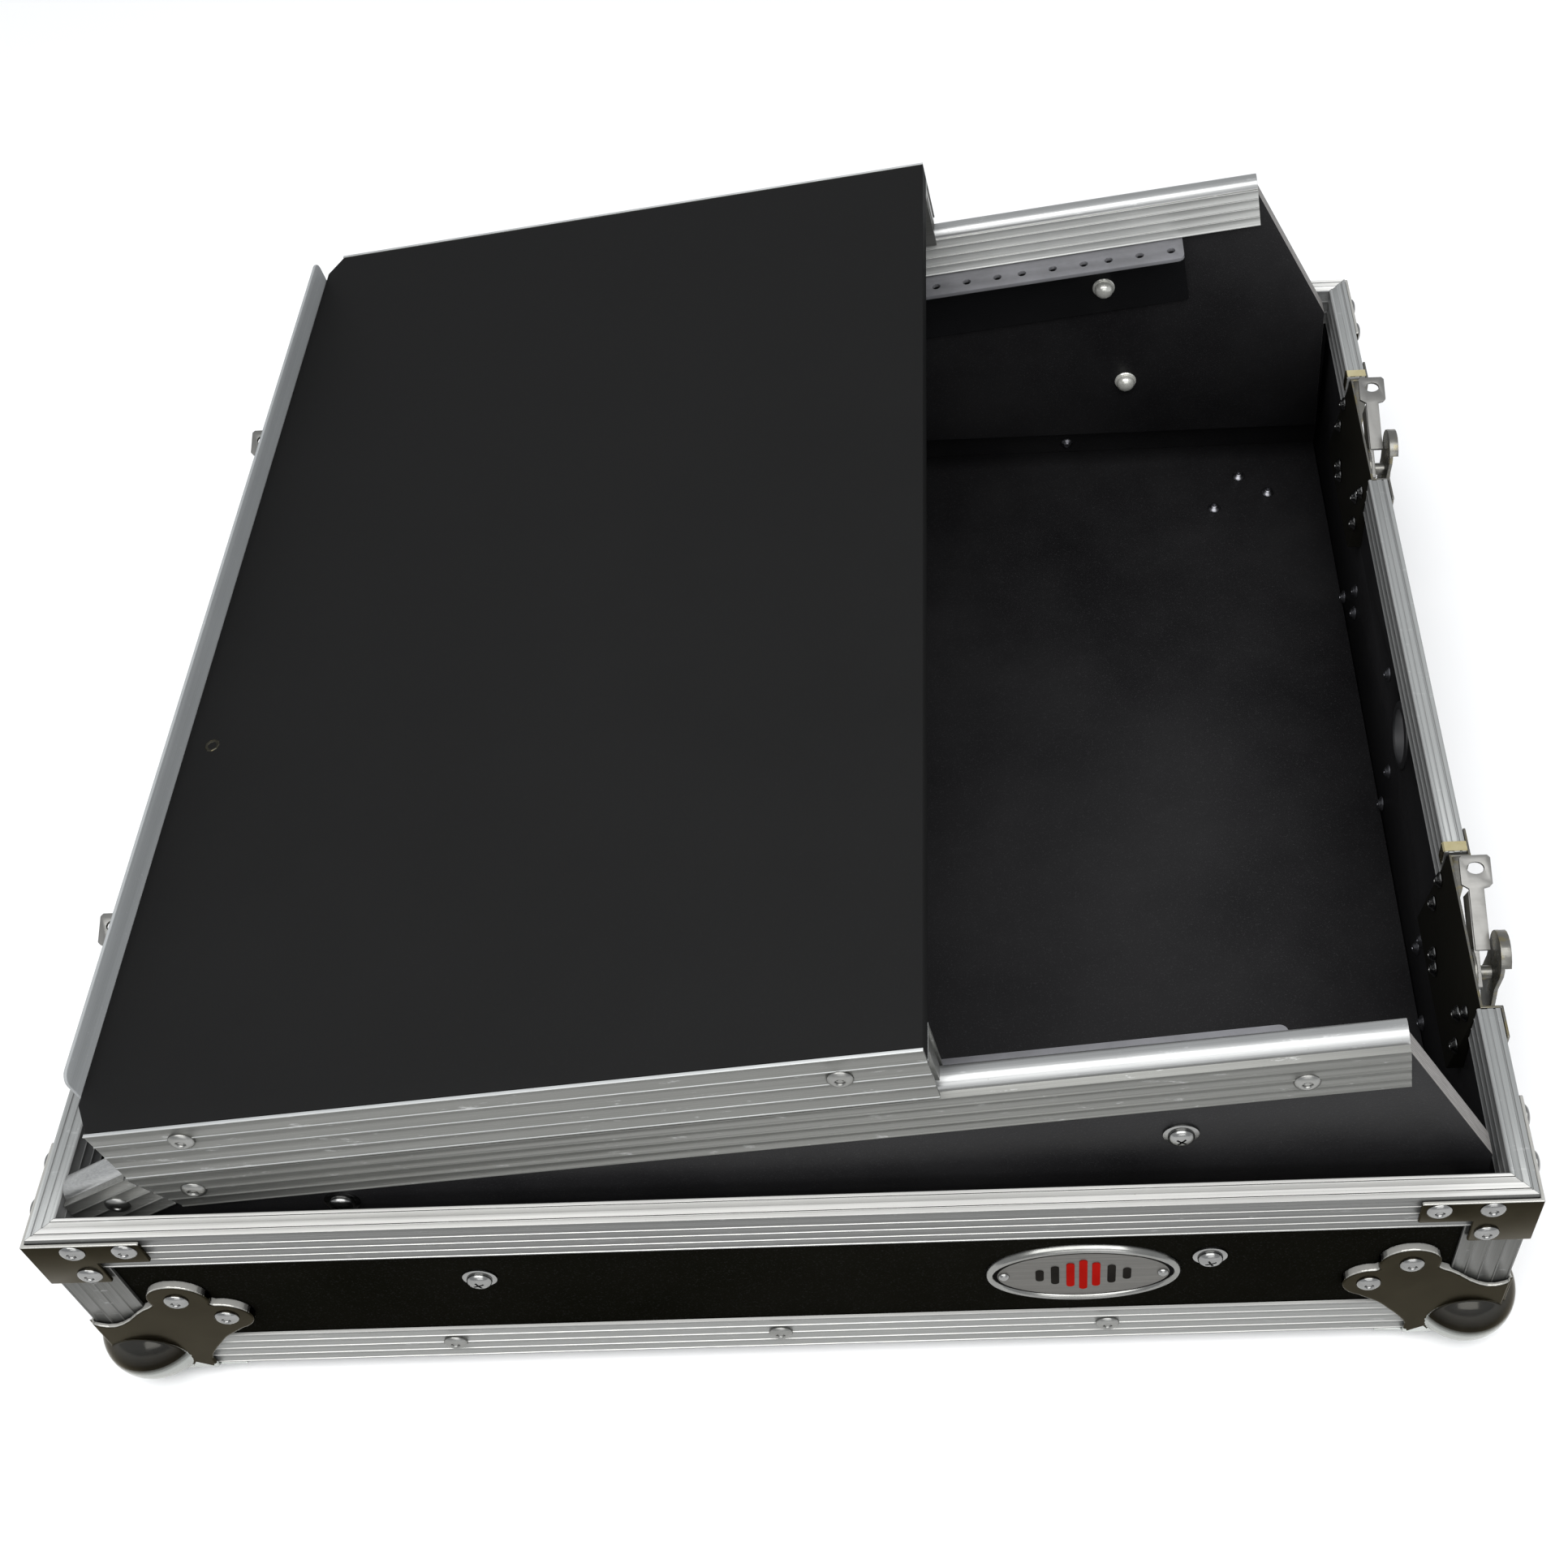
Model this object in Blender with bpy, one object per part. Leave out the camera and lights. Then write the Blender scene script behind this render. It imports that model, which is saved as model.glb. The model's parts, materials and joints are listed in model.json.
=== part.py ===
"""Open base of a slant-top rack case with a sliding shelf on two inclined rails.

Metres, +Z up. +X points to the high end of the rails (the rear, where cables leave),
+Y is the operator's left. The origin is under the middle of the case, at the level of
the four ball corners that it stands on.
"""
import math

import bmesh
import bpy
from mathutils import Matrix, Vector

# Driving dimensions of the tray
CASE_LENGTH = 0.563          # over the rim extrusions, front to rear (X)
CASE_WIDTH = 0.540           # over the rim extrusions, side to side (Y)
TRAY_HEIGHT = 0.115          # underside of the bottom extrusions to the top of the rim
BALL_DROP = 0.009            # how far a ball corner stands out of the faces it wraps
GAP = 0.0003                 # clearance between neighbouring pieces

# Sheet and plywood
SHEET = 0.0013               # wall of the aluminium extrusions
PLY = 0.0063                 # plywood of the walls and the floor
PLY_INSET = 0.0016           # from the outer face of the extrusions to the plywood
RIM_WIDTH = 0.0095
RIM_LEG = 0.0238
BOTTOM_LEG = 0.0263
CORNER_LEG = 0.0240
RIB_HEIGHT = 0.0004

# Inclined rack panels and rails
SLOPE = math.atan(0.1323)    # rise of the rails towards the rear
PANEL_INNER = 0.2432         # distance of a rack panel's inner face from the middle plane
PANEL_OUTER = 0.2528
PANEL_FOOT = 0.037           # height of the panels' lower edge over the tray's underside
RAIL_INNER = 0.2413
RAIL_OUTER = 0.2549
RAIL_TOP = 0.1664            # distances along the normal of the slope, from the tray's underside
RAIL_NECK = 0.1622
RAIL_OUTER_FOOT = 0.1383
RAIL_INNER_FOOT = 0.1406
RAIL_WEB = 0.1606
BEAD_MIDDLE = 0.2470         # rounded bead on the rail's top that the shelf runs on
BEAD_HALF = 0.0050
RAIL_FRONT_X = -0.2434       # where the long rails meet the short front pieces
RAIL_REAR_U = 0.2500         # rear end of the long rails, measured along the slope
FRONT_SLOPE = math.radians(33.0)
FRONT_PIECE_END_X = -0.2710

# Nineteen inch rack rails
RACK_UNIT = 0.04445
RACK_UNITS = 9
RACK_EDGE = 0.2254           # inner edges of the flanges leave a 450.8 mm opening
RACK_HOLE_LINE = 0.23255     # hole lines are 465.1 mm apart
RACK_HOLE_RADIUS = 0.0022
RACK_SHEET = 0.0020
RACK_SIDE_DEPTH = 0.038
RACK_TOP = 0.1402
RACK_MIDDLE_U = 0.0102
RACK_OUTER = 0.2427
RACK_CORNER = 0.0035

# Sliding shelf
SHELF_TOP = 0.1976
SHELF_BOARD = 0.0090
SHELF_FRONT_U = -0.2238
SHELF_REAR_U = 0.0872
CHANNEL_FRONT_U = -0.2182
CHANNEL_OUTER = 0.2566
CHANNEL_INNER = 0.2394
CHANNEL_WALL = 0.0014
CHANNEL_FOOT = 0.1656
CHANNEL_INNER_FOOT = 0.1600
RUNNER_HALF = 0.0030         # half the width of the rib that runs on the rail's rounded top
LIP_HEIGHT = 0.0113
LIP_CORNER = 0.0045
SHELF_CORNER_CUT = 0.0060

# Hardware
BALL_RADIUS = 0.0215
BALL_INSET = 0.0115          # centre of a ball, inward from the two upright faces
PLATE = 0.0015               # thickness of the corner plates
LATCH_S = 0.1513             # distance of the latches from the middle plane
NOTCH_WIDTH = 0.0765
PORT_RADIUS = 0.0133
PORT_Y = -0.016
PORT_Z = 0.075
BADGE_X = 0.1144
BADGE_Z = 0.060
BADGE_LENGTH = 0.0766
BADGE_HEIGHT = 0.0460

# Latch mechanism, in its own plane parallel to the wall
PIVOT_OFFSET = {"rear": -0.0080, "front": -0.0130}   # pivot from the middle of the dish
KNOB_TURN = {"rear": 0.0, "front": 90.0}             # how far each knob rests from upright
PIVOT_Z = 0.094
HOOK_TILT = math.radians(22.0)   # the hook rests this far above the horizontal

HALF_LENGTH = CASE_LENGTH / 2
HALF_WIDTH = CASE_WIDTH / 2
SIN, COS = math.sin(SLOPE), math.cos(SLOPE)
FRONT_TURN = FRONT_SLOPE - SLOPE                     # between the front pieces and the long rails


def clear_scene():
    for obj in list(bpy.data.objects):
        bpy.data.objects.remove(obj, do_unlink=True)


def material(name, colour, roughness, metallic=0.0):
    mat = bpy.data.materials.new(name)
    mat.use_nodes = True
    shader = mat.node_tree.nodes["Principled BSDF"]
    shader.inputs["Base Color"].default_value = (*colour, 1.0)
    shader.inputs["Roughness"].default_value = roughness
    shader.inputs["Metallic"].default_value = metallic
    return mat


def make_materials():
    return {
        "laminate": material("laminate", (0.012, 0.011, 0.010), 0.45),
        "aluminium": material("aluminium", (0.45, 0.45, 0.43), 0.38, 1.0),
        "steel": material("polished_steel", (0.55, 0.53, 0.49), 0.12, 1.0),
        "ply_edge": material("ply_edge", (0.20, 0.19, 0.18), 0.7),
        "shelf": material("shelf_black", (0.020, 0.020, 0.020), 0.6),
        "lip": material("lip_grey", (0.32, 0.34, 0.35), 0.4, 1.0),
        "zinc": material("zinc_plate", (0.52, 0.50, 0.42), 0.3, 1.0),
        "rack": material("rack_steel", (0.10, 0.11, 0.12), 0.35, 1.0),
        "badge": material("badge_metal", (0.60, 0.60, 0.60), 0.3, 1.0),
    }


# ---------------------------------------------------------------- mesh helpers

def make_object(name, bm, mat, smooth=False):
    """Turn a bmesh into a named object with its own material."""
    bmesh.ops.recalc_face_normals(bm, faces=bm.faces)
    mesh = bpy.data.meshes.new(name)
    bm.to_mesh(mesh)
    bm.free()
    mesh.materials.append(mat)
    if smooth:
        mesh.shade_smooth()
        mesh.set_sharp_from_angle(angle=math.radians(35.0))
    obj = bpy.data.objects.new(name, mesh)
    bpy.context.scene.collection.objects.link(obj)
    return obj


def solid_from_rings(rings):
    """Closed solid through matching rings of points, capped at both ends."""
    bm = bmesh.new()
    loops = [[bm.verts.new(point) for point in ring] for ring in rings]
    count = len(loops[0])
    for low, high in zip(loops, loops[1:]):
        for i in range(count):
            j = (i + 1) % count
            bm.faces.new((low[i], low[j], high[j], high[i]))
    bm.faces.new(loops[0][::-1])
    bm.faces.new(loops[-1])
    return bm


def box_mesh(low, high):
    x0, y0, z0 = low
    x1, y1, z1 = high
    ring = [(x0, y0), (x1, y0), (x1, y1), (x0, y1)]
    return solid_from_rings([[(x, y, z) for x, y in ring] for z in (z0, z1)])


def as_tool(obj):
    """A cutter or a piece to be joined, left out of the model itself."""
    obj.hide_render = True
    obj.display_type = "WIRE"
    return obj


def apply_boolean(obj, tool, operation):
    modifier = obj.modifiers.new(tool.name, "BOOLEAN")
    modifier.operation = operation
    modifier.solver = "EXACT"
    modifier.object = as_tool(tool)


def cut(obj, tool):
    apply_boolean(obj, tool, "DIFFERENCE")


def join(obj, tool):
    apply_boolean(obj, tool, "UNION")


def arc(centre, radius, start, end, steps):
    """Points on an arc, angles in degrees, both ends included."""
    points = []
    for i in range(steps + 1):
        angle = math.radians(start + (end - start) * i / steps)
        points.append((centre[0] + radius * math.cos(angle), centre[1] + radius * math.sin(angle)))
    return points


def circle(centre, radius, steps):
    return arc(centre, radius, 0.0, 360.0, steps)[:-1]


def ribbed(start, end, count, face, height=RIB_HEIGHT):
    """Flank with thin raised ribs, and a raised land along each edge.

    Runs from start to end along one direction; `face` is the level of the ribs' crests and
    `height` leads from there to the flank. Returns (face, position) pairs.
    """
    way = math.copysign(1.0, end - start)
    pitch = (end - start) / count
    flank = face + height
    points = [(face, start), (face, start + way * 0.0005), (flank, start + way * 0.0008)]
    for i in range(1, count):
        middle = start + pitch * i
        points.append((flank, middle - way * 0.00050))
        points.append((face, middle - way * 0.00022))
        points.append((face, middle + way * 0.00022))
        points.append((flank, middle + way * 0.00050))
    points += [(flank, end - way * 0.0008), (face, end - way * 0.0005), (face, end)]
    return points


# ---------------------------------------------------------------- frames of reference

def wall_point(wall, n, s, z):
    """World point from n inward of a wall's outer face, s along it, z over the tray's underside."""
    height = z + BALL_DROP
    if wall == "rear":
        return (HALF_LENGTH - n, s, height)
    if wall == "front":
        return (-HALF_LENGTH + n, s, height)
    if wall == "left":
        return (s, HALF_WIDTH - n, height)
    return (s, -HALF_WIDTH + n, height)


def half_span(wall):
    """Half of the length of the edge that a wall stands on."""
    return HALF_WIDTH if wall in ("front", "rear") else HALF_LENGTH


def slope_point(u, y, n):
    """World point from u along the rails' slope, y across, n along the slope's normal."""
    return (u * COS - n * SIN, y, u * SIN + n * COS + BALL_DROP)


def slope_u(x, n):
    """Distance along the slope of the point at height n whose world X is x."""
    return (x + n * SIN) / COS


def wall_bar(name, profile, wall, ends, mat):
    """Bar along a wall. An end is a number for a square cut, or +1/-1 in `mitre` form."""
    rings = []
    for end in ends:
        ring = []
        for n, z in profile:
            if end in ("low_mitre", "high_mitre"):
                reach = half_span(wall) - n - GAP
                s = -reach if end == "low_mitre" else reach
            else:
                s = end
            ring.append(wall_point(wall, n, s, z))
        rings.append(ring)
    return make_object(name, solid_from_rings(rings), mat)


def wall_prism(name, outline, wall, n_range, mat, smooth=False):
    """Plate parallel to a wall: outline in (s, z), from one depth to another."""
    rings = [[wall_point(wall, n, s, z) for s, z in outline] for n in n_range]
    return make_object(name, solid_from_rings(rings), mat, smooth)


def wall_box(name, wall, n_range, s_range, z_range, mat):
    outline = [(s_range[0], z_range[0]), (s_range[1], z_range[0]),
               (s_range[1], z_range[1]), (s_range[0], z_range[1])]
    return wall_prism(name, outline, wall, n_range, mat)


def side_prism(name, outline, y_range, mat, smooth=False):
    """Plate parallel to the middle plane: outline in world (x, z over the tray's underside)."""
    rings = [[(x, y, z + BALL_DROP) for x, z in outline] for y in y_range]
    return make_object(name, solid_from_rings(rings), mat, smooth)


def slope_bar(name, profile, side, u_range, mat):
    """Bar along the slope: profile in (distance from the middle plane, n)."""
    rings = [[slope_point(u, side * y, n) for y, n in profile] for u in u_range]
    return make_object(name, solid_from_rings(rings), mat)


# ---------------------------------------------------------------- tray

def rim_profile():
    """Lid-locating extrusion: shallow steps along its top, and ribbed legs."""
    top = TRAY_HEIGHT
    outer = ribbed(top - RIM_LEG, top - 0.0018, 4, 0.0)
    crown = [(0.0003, top), (0.0021, top), (0.0023, top - 0.0006), (0.0028, top - 0.0006),
             (0.0030, top - 0.0001), (0.0053, top - 0.0001), (0.0055, top - 0.0005),
             (0.0077, top - 0.0005), (0.0079, top), (0.0090, top)]
    inner = ribbed(top - 0.0005, top - RIM_LEG + 0.002, 3, RIM_WIDTH, -0.0003)
    inner += [(RIM_WIDTH - SHEET, top - RIM_LEG + 0.002),
             (RIM_WIDTH - SHEET, top - 0.0030), (SHEET, top - 0.0030), (SHEET, top - RIM_LEG)]
    return outer + crown + inner


def bottom_profile():
    """Angle extrusion along the lower edges, ribbed on its upright leg."""
    outer = ribbed(0.0003, BOTTOM_LEG, 4, 0.0)
    return outer + [(SHEET, BOTTOM_LEG), (SHEET, SHEET), (BOTTOM_LEG, SHEET), (BOTTOM_LEG, 0.0),
                    (0.0003, 0.0)]


def corner_outline():
    """Plan of an upright corner angle: distances inward from the two outer faces."""
    leg = ribbed(0.0003, CORNER_LEG, 4, 0.0)
    first = [(b, a) for a, b in leg]
    second = [(a, b) for a, b in leg]
    inner = [(SHEET, CORNER_LEG), (SHEET, SHEET), (CORNER_LEG, SHEET)]
    return first[::-1] + second + inner


def build_extrusions(mats):
    alu = mats["aluminium"]
    notch = NOTCH_WIDTH / 2
    for wall in ("front", "rear"):
        cuts = [("low_mitre", -LATCH_S - notch), (-LATCH_S + notch, LATCH_S - notch),
                (LATCH_S + notch, "high_mitre")]
        for label, ends in zip(("right", "middle", "left"), cuts):
            wall_bar(f"rim_{wall}_{label}", rim_profile(), wall, ends, alu)
    for wall in ("left", "right"):
        wall_bar(f"rim_{wall}", rim_profile(), wall, ("low_mitre", "high_mitre"), alu)
    for wall in ("front", "rear", "left", "right"):
        wall_bar(f"bottom_edge_{wall}", bottom_profile(), wall, ("low_mitre", "high_mitre"), alu)
    low = BOTTOM_LEG + GAP + BALL_DROP
    high = TRAY_HEIGHT - RIM_LEG - GAP + BALL_DROP
    for x_name, x_sign in (("front", -1), ("rear", 1)):
        for y_name, y_sign in (("left", 1), ("right", -1)):
            rings = []
            for z in (low, high):
                rings.append([(x_sign * (HALF_LENGTH - a), y_sign * (HALF_WIDTH - b), z)
                              for a, b in corner_outline()])
            make_object(f"corner_angle_{x_name}_{y_name}", solid_from_rings(rings), alu)


def dish_cutter(name, wall, s_middle, mats):
    half = NOTCH_WIDTH / 2 - 0.0002
    return wall_box(name, wall, (-0.01, 0.02), (s_middle - half, s_middle + half),
                    (TRAY_HEIGHT - 0.0462, TRAY_HEIGHT + 0.01), mats["laminate"])


def build_walls(mats):
    black = mats["laminate"]
    inner = PLY_INSET + PLY
    top = TRAY_HEIGHT - 0.0033
    foot = SHEET + GAP
    for wall in ("left", "right"):
        half = HALF_LENGTH - PLY_INSET
        wall_box(f"wall_{wall}", wall, (PLY_INSET, inner), (-half, half), (foot, top), black)
    for wall in ("front", "rear"):
        half = HALF_WIDTH - inner - GAP
        panel = wall_box(f"wall_{wall}", wall, (PLY_INSET, inner), (-half, half), (foot, top), black)
        for i, s in enumerate((-LATCH_S, LATCH_S)):
            cut(panel, dish_cutter(f"cut_dish_{wall}_{i}", wall, s, mats))
        if wall == "rear":
            cut(panel, wall_prism("cut_port", circle((PORT_Y, PORT_Z), PORT_RADIUS, 32), wall,
                                  (-0.01, 0.02), black))
    x = HALF_LENGTH - inner - GAP
    y = HALF_WIDTH - inner - GAP
    low = BALL_DROP + foot
    make_object("floor_panel", box_mesh((-x, -y, low), (x, y, low + PLY)), black)


# ---------------------------------------------------------------- corner hardware

def lobed_outline():
    """Face plate of a ball corner: two riveted lobes on a flared web, from the corner point.

    The first number runs along the lower edge, the second one up the corner.
    """
    lower = [(-0.0002, -0.0002), (0.0365, -0.0002), (0.0364, 0.0084), (0.0390, 0.0145),
             (0.0450, 0.0235), (0.0500, 0.0305)]
    side_lobe = arc((0.0545, 0.0480), 0.0110, -62.0, 95.0, 8)
    upper_lobe = arc((0.0410, 0.0640), 0.0120, -17.0, 197.0, 10)
    back = [(0.0245, 0.0568), (0.0206, 0.0530), (0.0115, 0.0440), (0.0050, 0.0420),
            (0.0015, 0.0436), (-0.0002, 0.0460)]
    return lower + side_lobe + upper_lobe + back


def bottom_outline():
    reach = 0.0440
    return [(-0.0002, -0.0002), (reach, -0.0002)] + arc((0.020, 0.020), 0.0285, -30.0, 120.0, 6) \
        + [(-0.0002, reach)]


def corner_prism(name, outline, thickness, axis, signs, mat):
    """Plate on one face of a corner. Outline in distances inward from the corner point."""
    sx, sy = signs
    rings = []
    for offset in (-GAP, -GAP - thickness):
        ring = []
        for a, b in outline:
            local = {"x": (offset, a, b), "y": (a, offset, b), "z": (a, b, offset)}[axis]
            ring.append((sx * (HALF_LENGTH - local[0]), sy * (HALF_WIDTH - local[1]),
                         BALL_DROP + local[2]))
        rings.append(ring)
    return make_object(name, solid_from_rings(rings), mat)


def build_ball_corner(name, signs, mats):
    """Ball with a plate on each of the three faces it wraps."""
    steel = mats["steel"]
    sx, sy = signs
    centre = Vector((sx * (HALF_LENGTH - BALL_INSET), sy * (HALF_WIDTH - BALL_INSET), BALL_RADIUS))
    bm = bmesh.new()
    bmesh.ops.create_uvsphere(bm, u_segments=28, v_segments=16, radius=BALL_RADIUS,
                              matrix=Matrix.Translation(centre))
    ball = make_object(name, bm, steel, smooth=True)
    reach = 0.2
    low = (sx * (HALF_LENGTH + GAP), sy * (HALF_WIDTH + GAP), BALL_DROP - GAP)
    high = (sx * (HALF_LENGTH - reach), sy * (HALF_WIDTH - reach), reach)
    corners = [[min(p) for p in zip(low, high)], [max(p) for p in zip(low, high)]]
    plates = (("x", lobed_outline()), ("y", lobed_outline()), ("z", bottom_outline()))
    for axis, outline in plates:
        join(ball, corner_prism(f"{name}_{axis}", outline, PLATE, axis, signs, steel))
    cut(ball, make_object(f"{name}_case", box_mesh(*corners), steel))
    return ball


def brace_outline():
    """L plate under the rim: distances from the corner and heights over the tray's underside."""
    top, out = TRAY_HEIGHT - 0.0020, -GAP - PLATE
    return [(out, top), (0.0424, top), (0.0430, top - 0.0006), (0.0430, top - 0.0139),
            (0.0424, top - 0.0145), (0.0225, top - 0.0145), (0.0225, top - 0.0300),
            (0.0218, top - 0.0307), (out, top - 0.0307)]


def build_brace(name, signs, mats):
    steel = mats["steel"]
    sx, sy = signs
    plates = []
    for axis in ("x", "y"):
        rings = []
        for offset in (-GAP, -GAP - PLATE):
            ring = []
            for a, z in brace_outline():
                nx, ny = (offset, a) if axis == "x" else (a, offset)
                ring.append((sx * (HALF_LENGTH - nx), sy * (HALF_WIDTH - ny), z + BALL_DROP))
            rings.append(ring)
        plates.append(solid_from_rings(rings))
    brace = make_object(name, plates[0], steel)
    join(brace, make_object(f"{name}_fold", plates[1], steel))


def build_corner_hardware(mats):
    for x_name, sx in (("front", -1), ("rear", 1)):
        for y_name, sy in (("left", 1), ("right", -1)):
            build_ball_corner(f"ball_corner_{x_name}_{y_name}", (sx, sy), mats)
            build_brace(f"corner_brace_{x_name}_{y_name}", (sx, sy), mats)


# ---------------------------------------------------------------- rack panels and rails

def front_line(x, depth):
    """Height at x of the line that runs `depth` under the top of the steep front pieces."""
    top = RAIL_TOP / COS + RAIL_FRONT_X * math.tan(SLOPE)
    along = (x - RAIL_FRONT_X - depth * math.sin(FRONT_SLOPE)) / math.cos(FRONT_SLOPE)
    return top + along * math.sin(FRONT_SLOPE) - depth * math.cos(FRONT_SLOPE)


def panel_outline():
    """Side view of a rack panel, from its lower front corner."""
    web = RAIL_WEB - GAP
    depth = RAIL_TOP - web
    bend_u = slope_u(RAIL_FRONT_X, RAIL_TOP) + depth * math.tan(FRONT_TURN / 2)
    bend = (bend_u * COS - web * SIN, bend_u * SIN + web * COS)
    front_x = FRONT_PIECE_END_X - 0.0004
    top_rear_x = 0.2262
    top_rear = web / COS + top_rear_x * math.tan(SLOPE)
    return [(front_x, PANEL_FOOT), (0.2695, PANEL_FOOT), (0.2672, 0.1142), (top_rear_x, top_rear),
            bend, (front_x, front_line(front_x, depth))]


def rail_profile():
    """Channel that straddles the panel's top edge, with a rounded bead on its back."""
    neck = RAIL_NECK
    outer = ribbed(RAIL_OUTER_FOOT, neck, 4, RAIL_OUTER, -RIB_HEIGHT)
    rise = RAIL_TOP - neck
    bead = []
    for i in range(15):
        angle = math.radians(180.0 * i / 14)
        bead.append((BEAD_MIDDLE + BEAD_HALF * math.cos(angle), neck + rise * math.sin(angle)))
    inner = ribbed(neck - 0.0004, RAIL_INNER_FOOT, 4, RAIL_INNER, RIB_HEIGHT)
    lining = [(RAIL_INNER + SHEET, RAIL_INNER_FOOT), (RAIL_INNER + SHEET, RAIL_WEB),
              (RAIL_OUTER - SHEET, RAIL_WEB), (RAIL_OUTER - SHEET, RAIL_OUTER_FOOT)]
    return outer + bead + inner + lining


def joint_u(n):
    """Where a long rail, at height n, is cut to meet the square end of its front piece."""
    return slope_u(RAIL_FRONT_X, RAIL_TOP) + (RAIL_TOP - n) * math.tan(FRONT_TURN)


def build_slide_rail(name, side, mats):
    profile = rail_profile()
    front = [slope_point(joint_u(n) + GAP / 2, side * y, n) for y, n in profile]
    rear = [slope_point(RAIL_REAR_U, side * y, n) for y, n in profile]
    make_object(name, solid_from_rings([front, rear]), mats["aluminium"])


def build_front_piece(name, side, mats):
    """Short rail on the steep front slope: upright cut at its low end, square at the joint."""
    low, high = [], []
    for y, n in rail_profile():
        depth = RAIL_TOP - n
        low.append((FRONT_PIECE_END_X, side * y, front_line(FRONT_PIECE_END_X, depth) + BALL_DROP))
        x = RAIL_FRONT_X + depth * math.sin(FRONT_SLOPE) - GAP / 2
        high.append((x, side * y, front_line(x, depth) + BALL_DROP))
    make_object(name, solid_from_rings([low, high]), mats["aluminium"])


def rack_ends():
    half = RACK_UNITS * RACK_UNIT / 2
    return RACK_MIDDLE_U - half, RACK_MIDDLE_U + half


def rack_hole_positions():
    """Three holes in each rack unit, counted along the slope."""
    start = rack_ends()[0]
    positions = []
    for unit in range(RACK_UNITS):
        for offset in (0.00635, 0.022225, 0.0381):
            positions.append(start + unit * RACK_UNIT + offset)
    return positions


def rack_corner(name, side, end, way, mats):
    """What is trimmed off to round a flange's free corner."""
    radius, top = RACK_CORNER, RACK_TOP
    centre = (end - way * radius, RACK_EDGE + radius)
    curve = arc(centre, radius, -90.0, 0.0 if way > 0 else -180.0, 6)
    outline = [(end - way * radius, RACK_EDGE - 0.001)] + curve
    outline += [(end + way * 0.001, RACK_EDGE + radius), (end + way * 0.001, RACK_EDGE - 0.001)]
    rings = [[slope_point(u, side * y, n) for u, y in outline] for n in (top - 0.006, top + 0.004)]
    return make_object(name, solid_from_rings(rings), mats["rack"])


def build_rack_rail(name, side, mats):
    top, outer = RACK_TOP, RACK_OUTER
    profile = [(RACK_EDGE, top), (outer, top), (outer, top - RACK_SIDE_DEPTH),
               (outer - RACK_SHEET, top - RACK_SIDE_DEPTH), (outer - RACK_SHEET, top - RACK_SHEET),
               (RACK_EDGE, top - RACK_SHEET)]
    rail = slope_bar(name, profile, side, rack_ends(), mats["rack"])
    for end, way in zip(rack_ends(), (-1, 1)):
        cut(rail, rack_corner(f"{name}_corner_{way}", side, end, way, mats))
    bm = bmesh.new()
    for u in rack_hole_positions():
        rings = []
        for n in (top - 0.006, top + 0.004):
            rings.append([slope_point(a, side * b, n)
                          for a, b in circle((u, RACK_HOLE_LINE), RACK_HOLE_RADIUS, 10)])
        piece = solid_from_rings(rings)
        bmesh.ops.recalc_face_normals(piece, faces=piece.faces)
        mesh = bpy.data.meshes.new("hole")
        piece.to_mesh(mesh)
        piece.free()
        bm.from_mesh(mesh)
        bpy.data.meshes.remove(mesh)
    cut(rail, make_object(f"{name}_holes", bm, mats["rack"]))


def build_rack(mats):
    for label, side in (("left", 1), ("right", -1)):
        faces = sorted((side * PANEL_INNER, side * PANEL_OUTER))
        side_prism(f"rack_panel_{label}", panel_outline(), faces, mats["laminate"])
        build_slide_rail(f"slide_rail_{label}", side, mats)
        build_front_piece(f"front_rail_{label}", side, mats)
        build_rack_rail(f"rack_rail_{label}", side, mats)
        build_batten(f"panel_batten_{label}", side, mats)


def build_batten(name, side, mats):
    """Spacer between a side wall and its rack panel; both are bolted through it."""
    inner = PANEL_OUTER + GAP
    outer = HALF_WIDTH - PLY_INSET - PLY - GAP
    outline = [(-0.262, 0.058), (0.262, 0.058), (0.262, 0.084), (-0.262, 0.084)]
    side_prism(name, outline, sorted((side * inner, side * outer)), mats["laminate"])


# ---------------------------------------------------------------- sliding shelf

def channel_profile():
    """Side extrusion of the shelf: ribbed flank, web under the board, runner rib, inner leg."""
    outer, inner, wall = CHANNEL_OUTER, CHANNEL_INNER, CHANNEL_WALL
    under = SHELF_TOP - SHELF_BOARD - GAP
    rib = BEAD_MIDDLE
    flank = ribbed(CHANNEL_FOOT, SHELF_TOP, 4, outer, -RIB_HEIGHT)
    return flank + [(outer - wall, SHELF_TOP), (outer - wall, under), (inner, under),
                    (inner, CHANNEL_INNER_FOOT), (inner + wall, CHANNEL_INNER_FOOT),
                    (inner + wall, under - wall), (rib - RUNNER_HALF, under - wall),
                    (rib - RUNNER_HALF, RAIL_TOP + GAP), (rib + RUNNER_HALF, RAIL_TOP + GAP),
                    (rib + RUNNER_HALF, under - wall), (outer - wall, under - wall),
                    (outer - wall, CHANNEL_FOOT)]


def build_shelf(mats):
    top, bottom = SHELF_TOP, SHELF_TOP - SHELF_BOARD
    edge = CHANNEL_OUTER - CHANNEL_WALL - GAP
    tip = SHELF_CORNER_CUT
    outline = [(SHELF_FRONT_U, -edge + 2 * tip), (SHELF_FRONT_U + tip, -edge), (SHELF_REAR_U, -edge),
               (SHELF_REAR_U, edge), (SHELF_FRONT_U + tip, edge), (SHELF_FRONT_U, edge - 2 * tip)]
    rings = [[slope_point(u, y, n) for u, y in outline] for n in (bottom, top)]
    make_object("shelf_board", solid_from_rings(rings), mats["shelf"])
    for label, side in (("left", 1), ("right", -1)):
        slope_bar(f"shelf_channel_{label}", channel_profile(), side,
                  (CHANNEL_FRONT_U, SHELF_REAR_U), mats["aluminium"])
    build_lip(mats)


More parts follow.
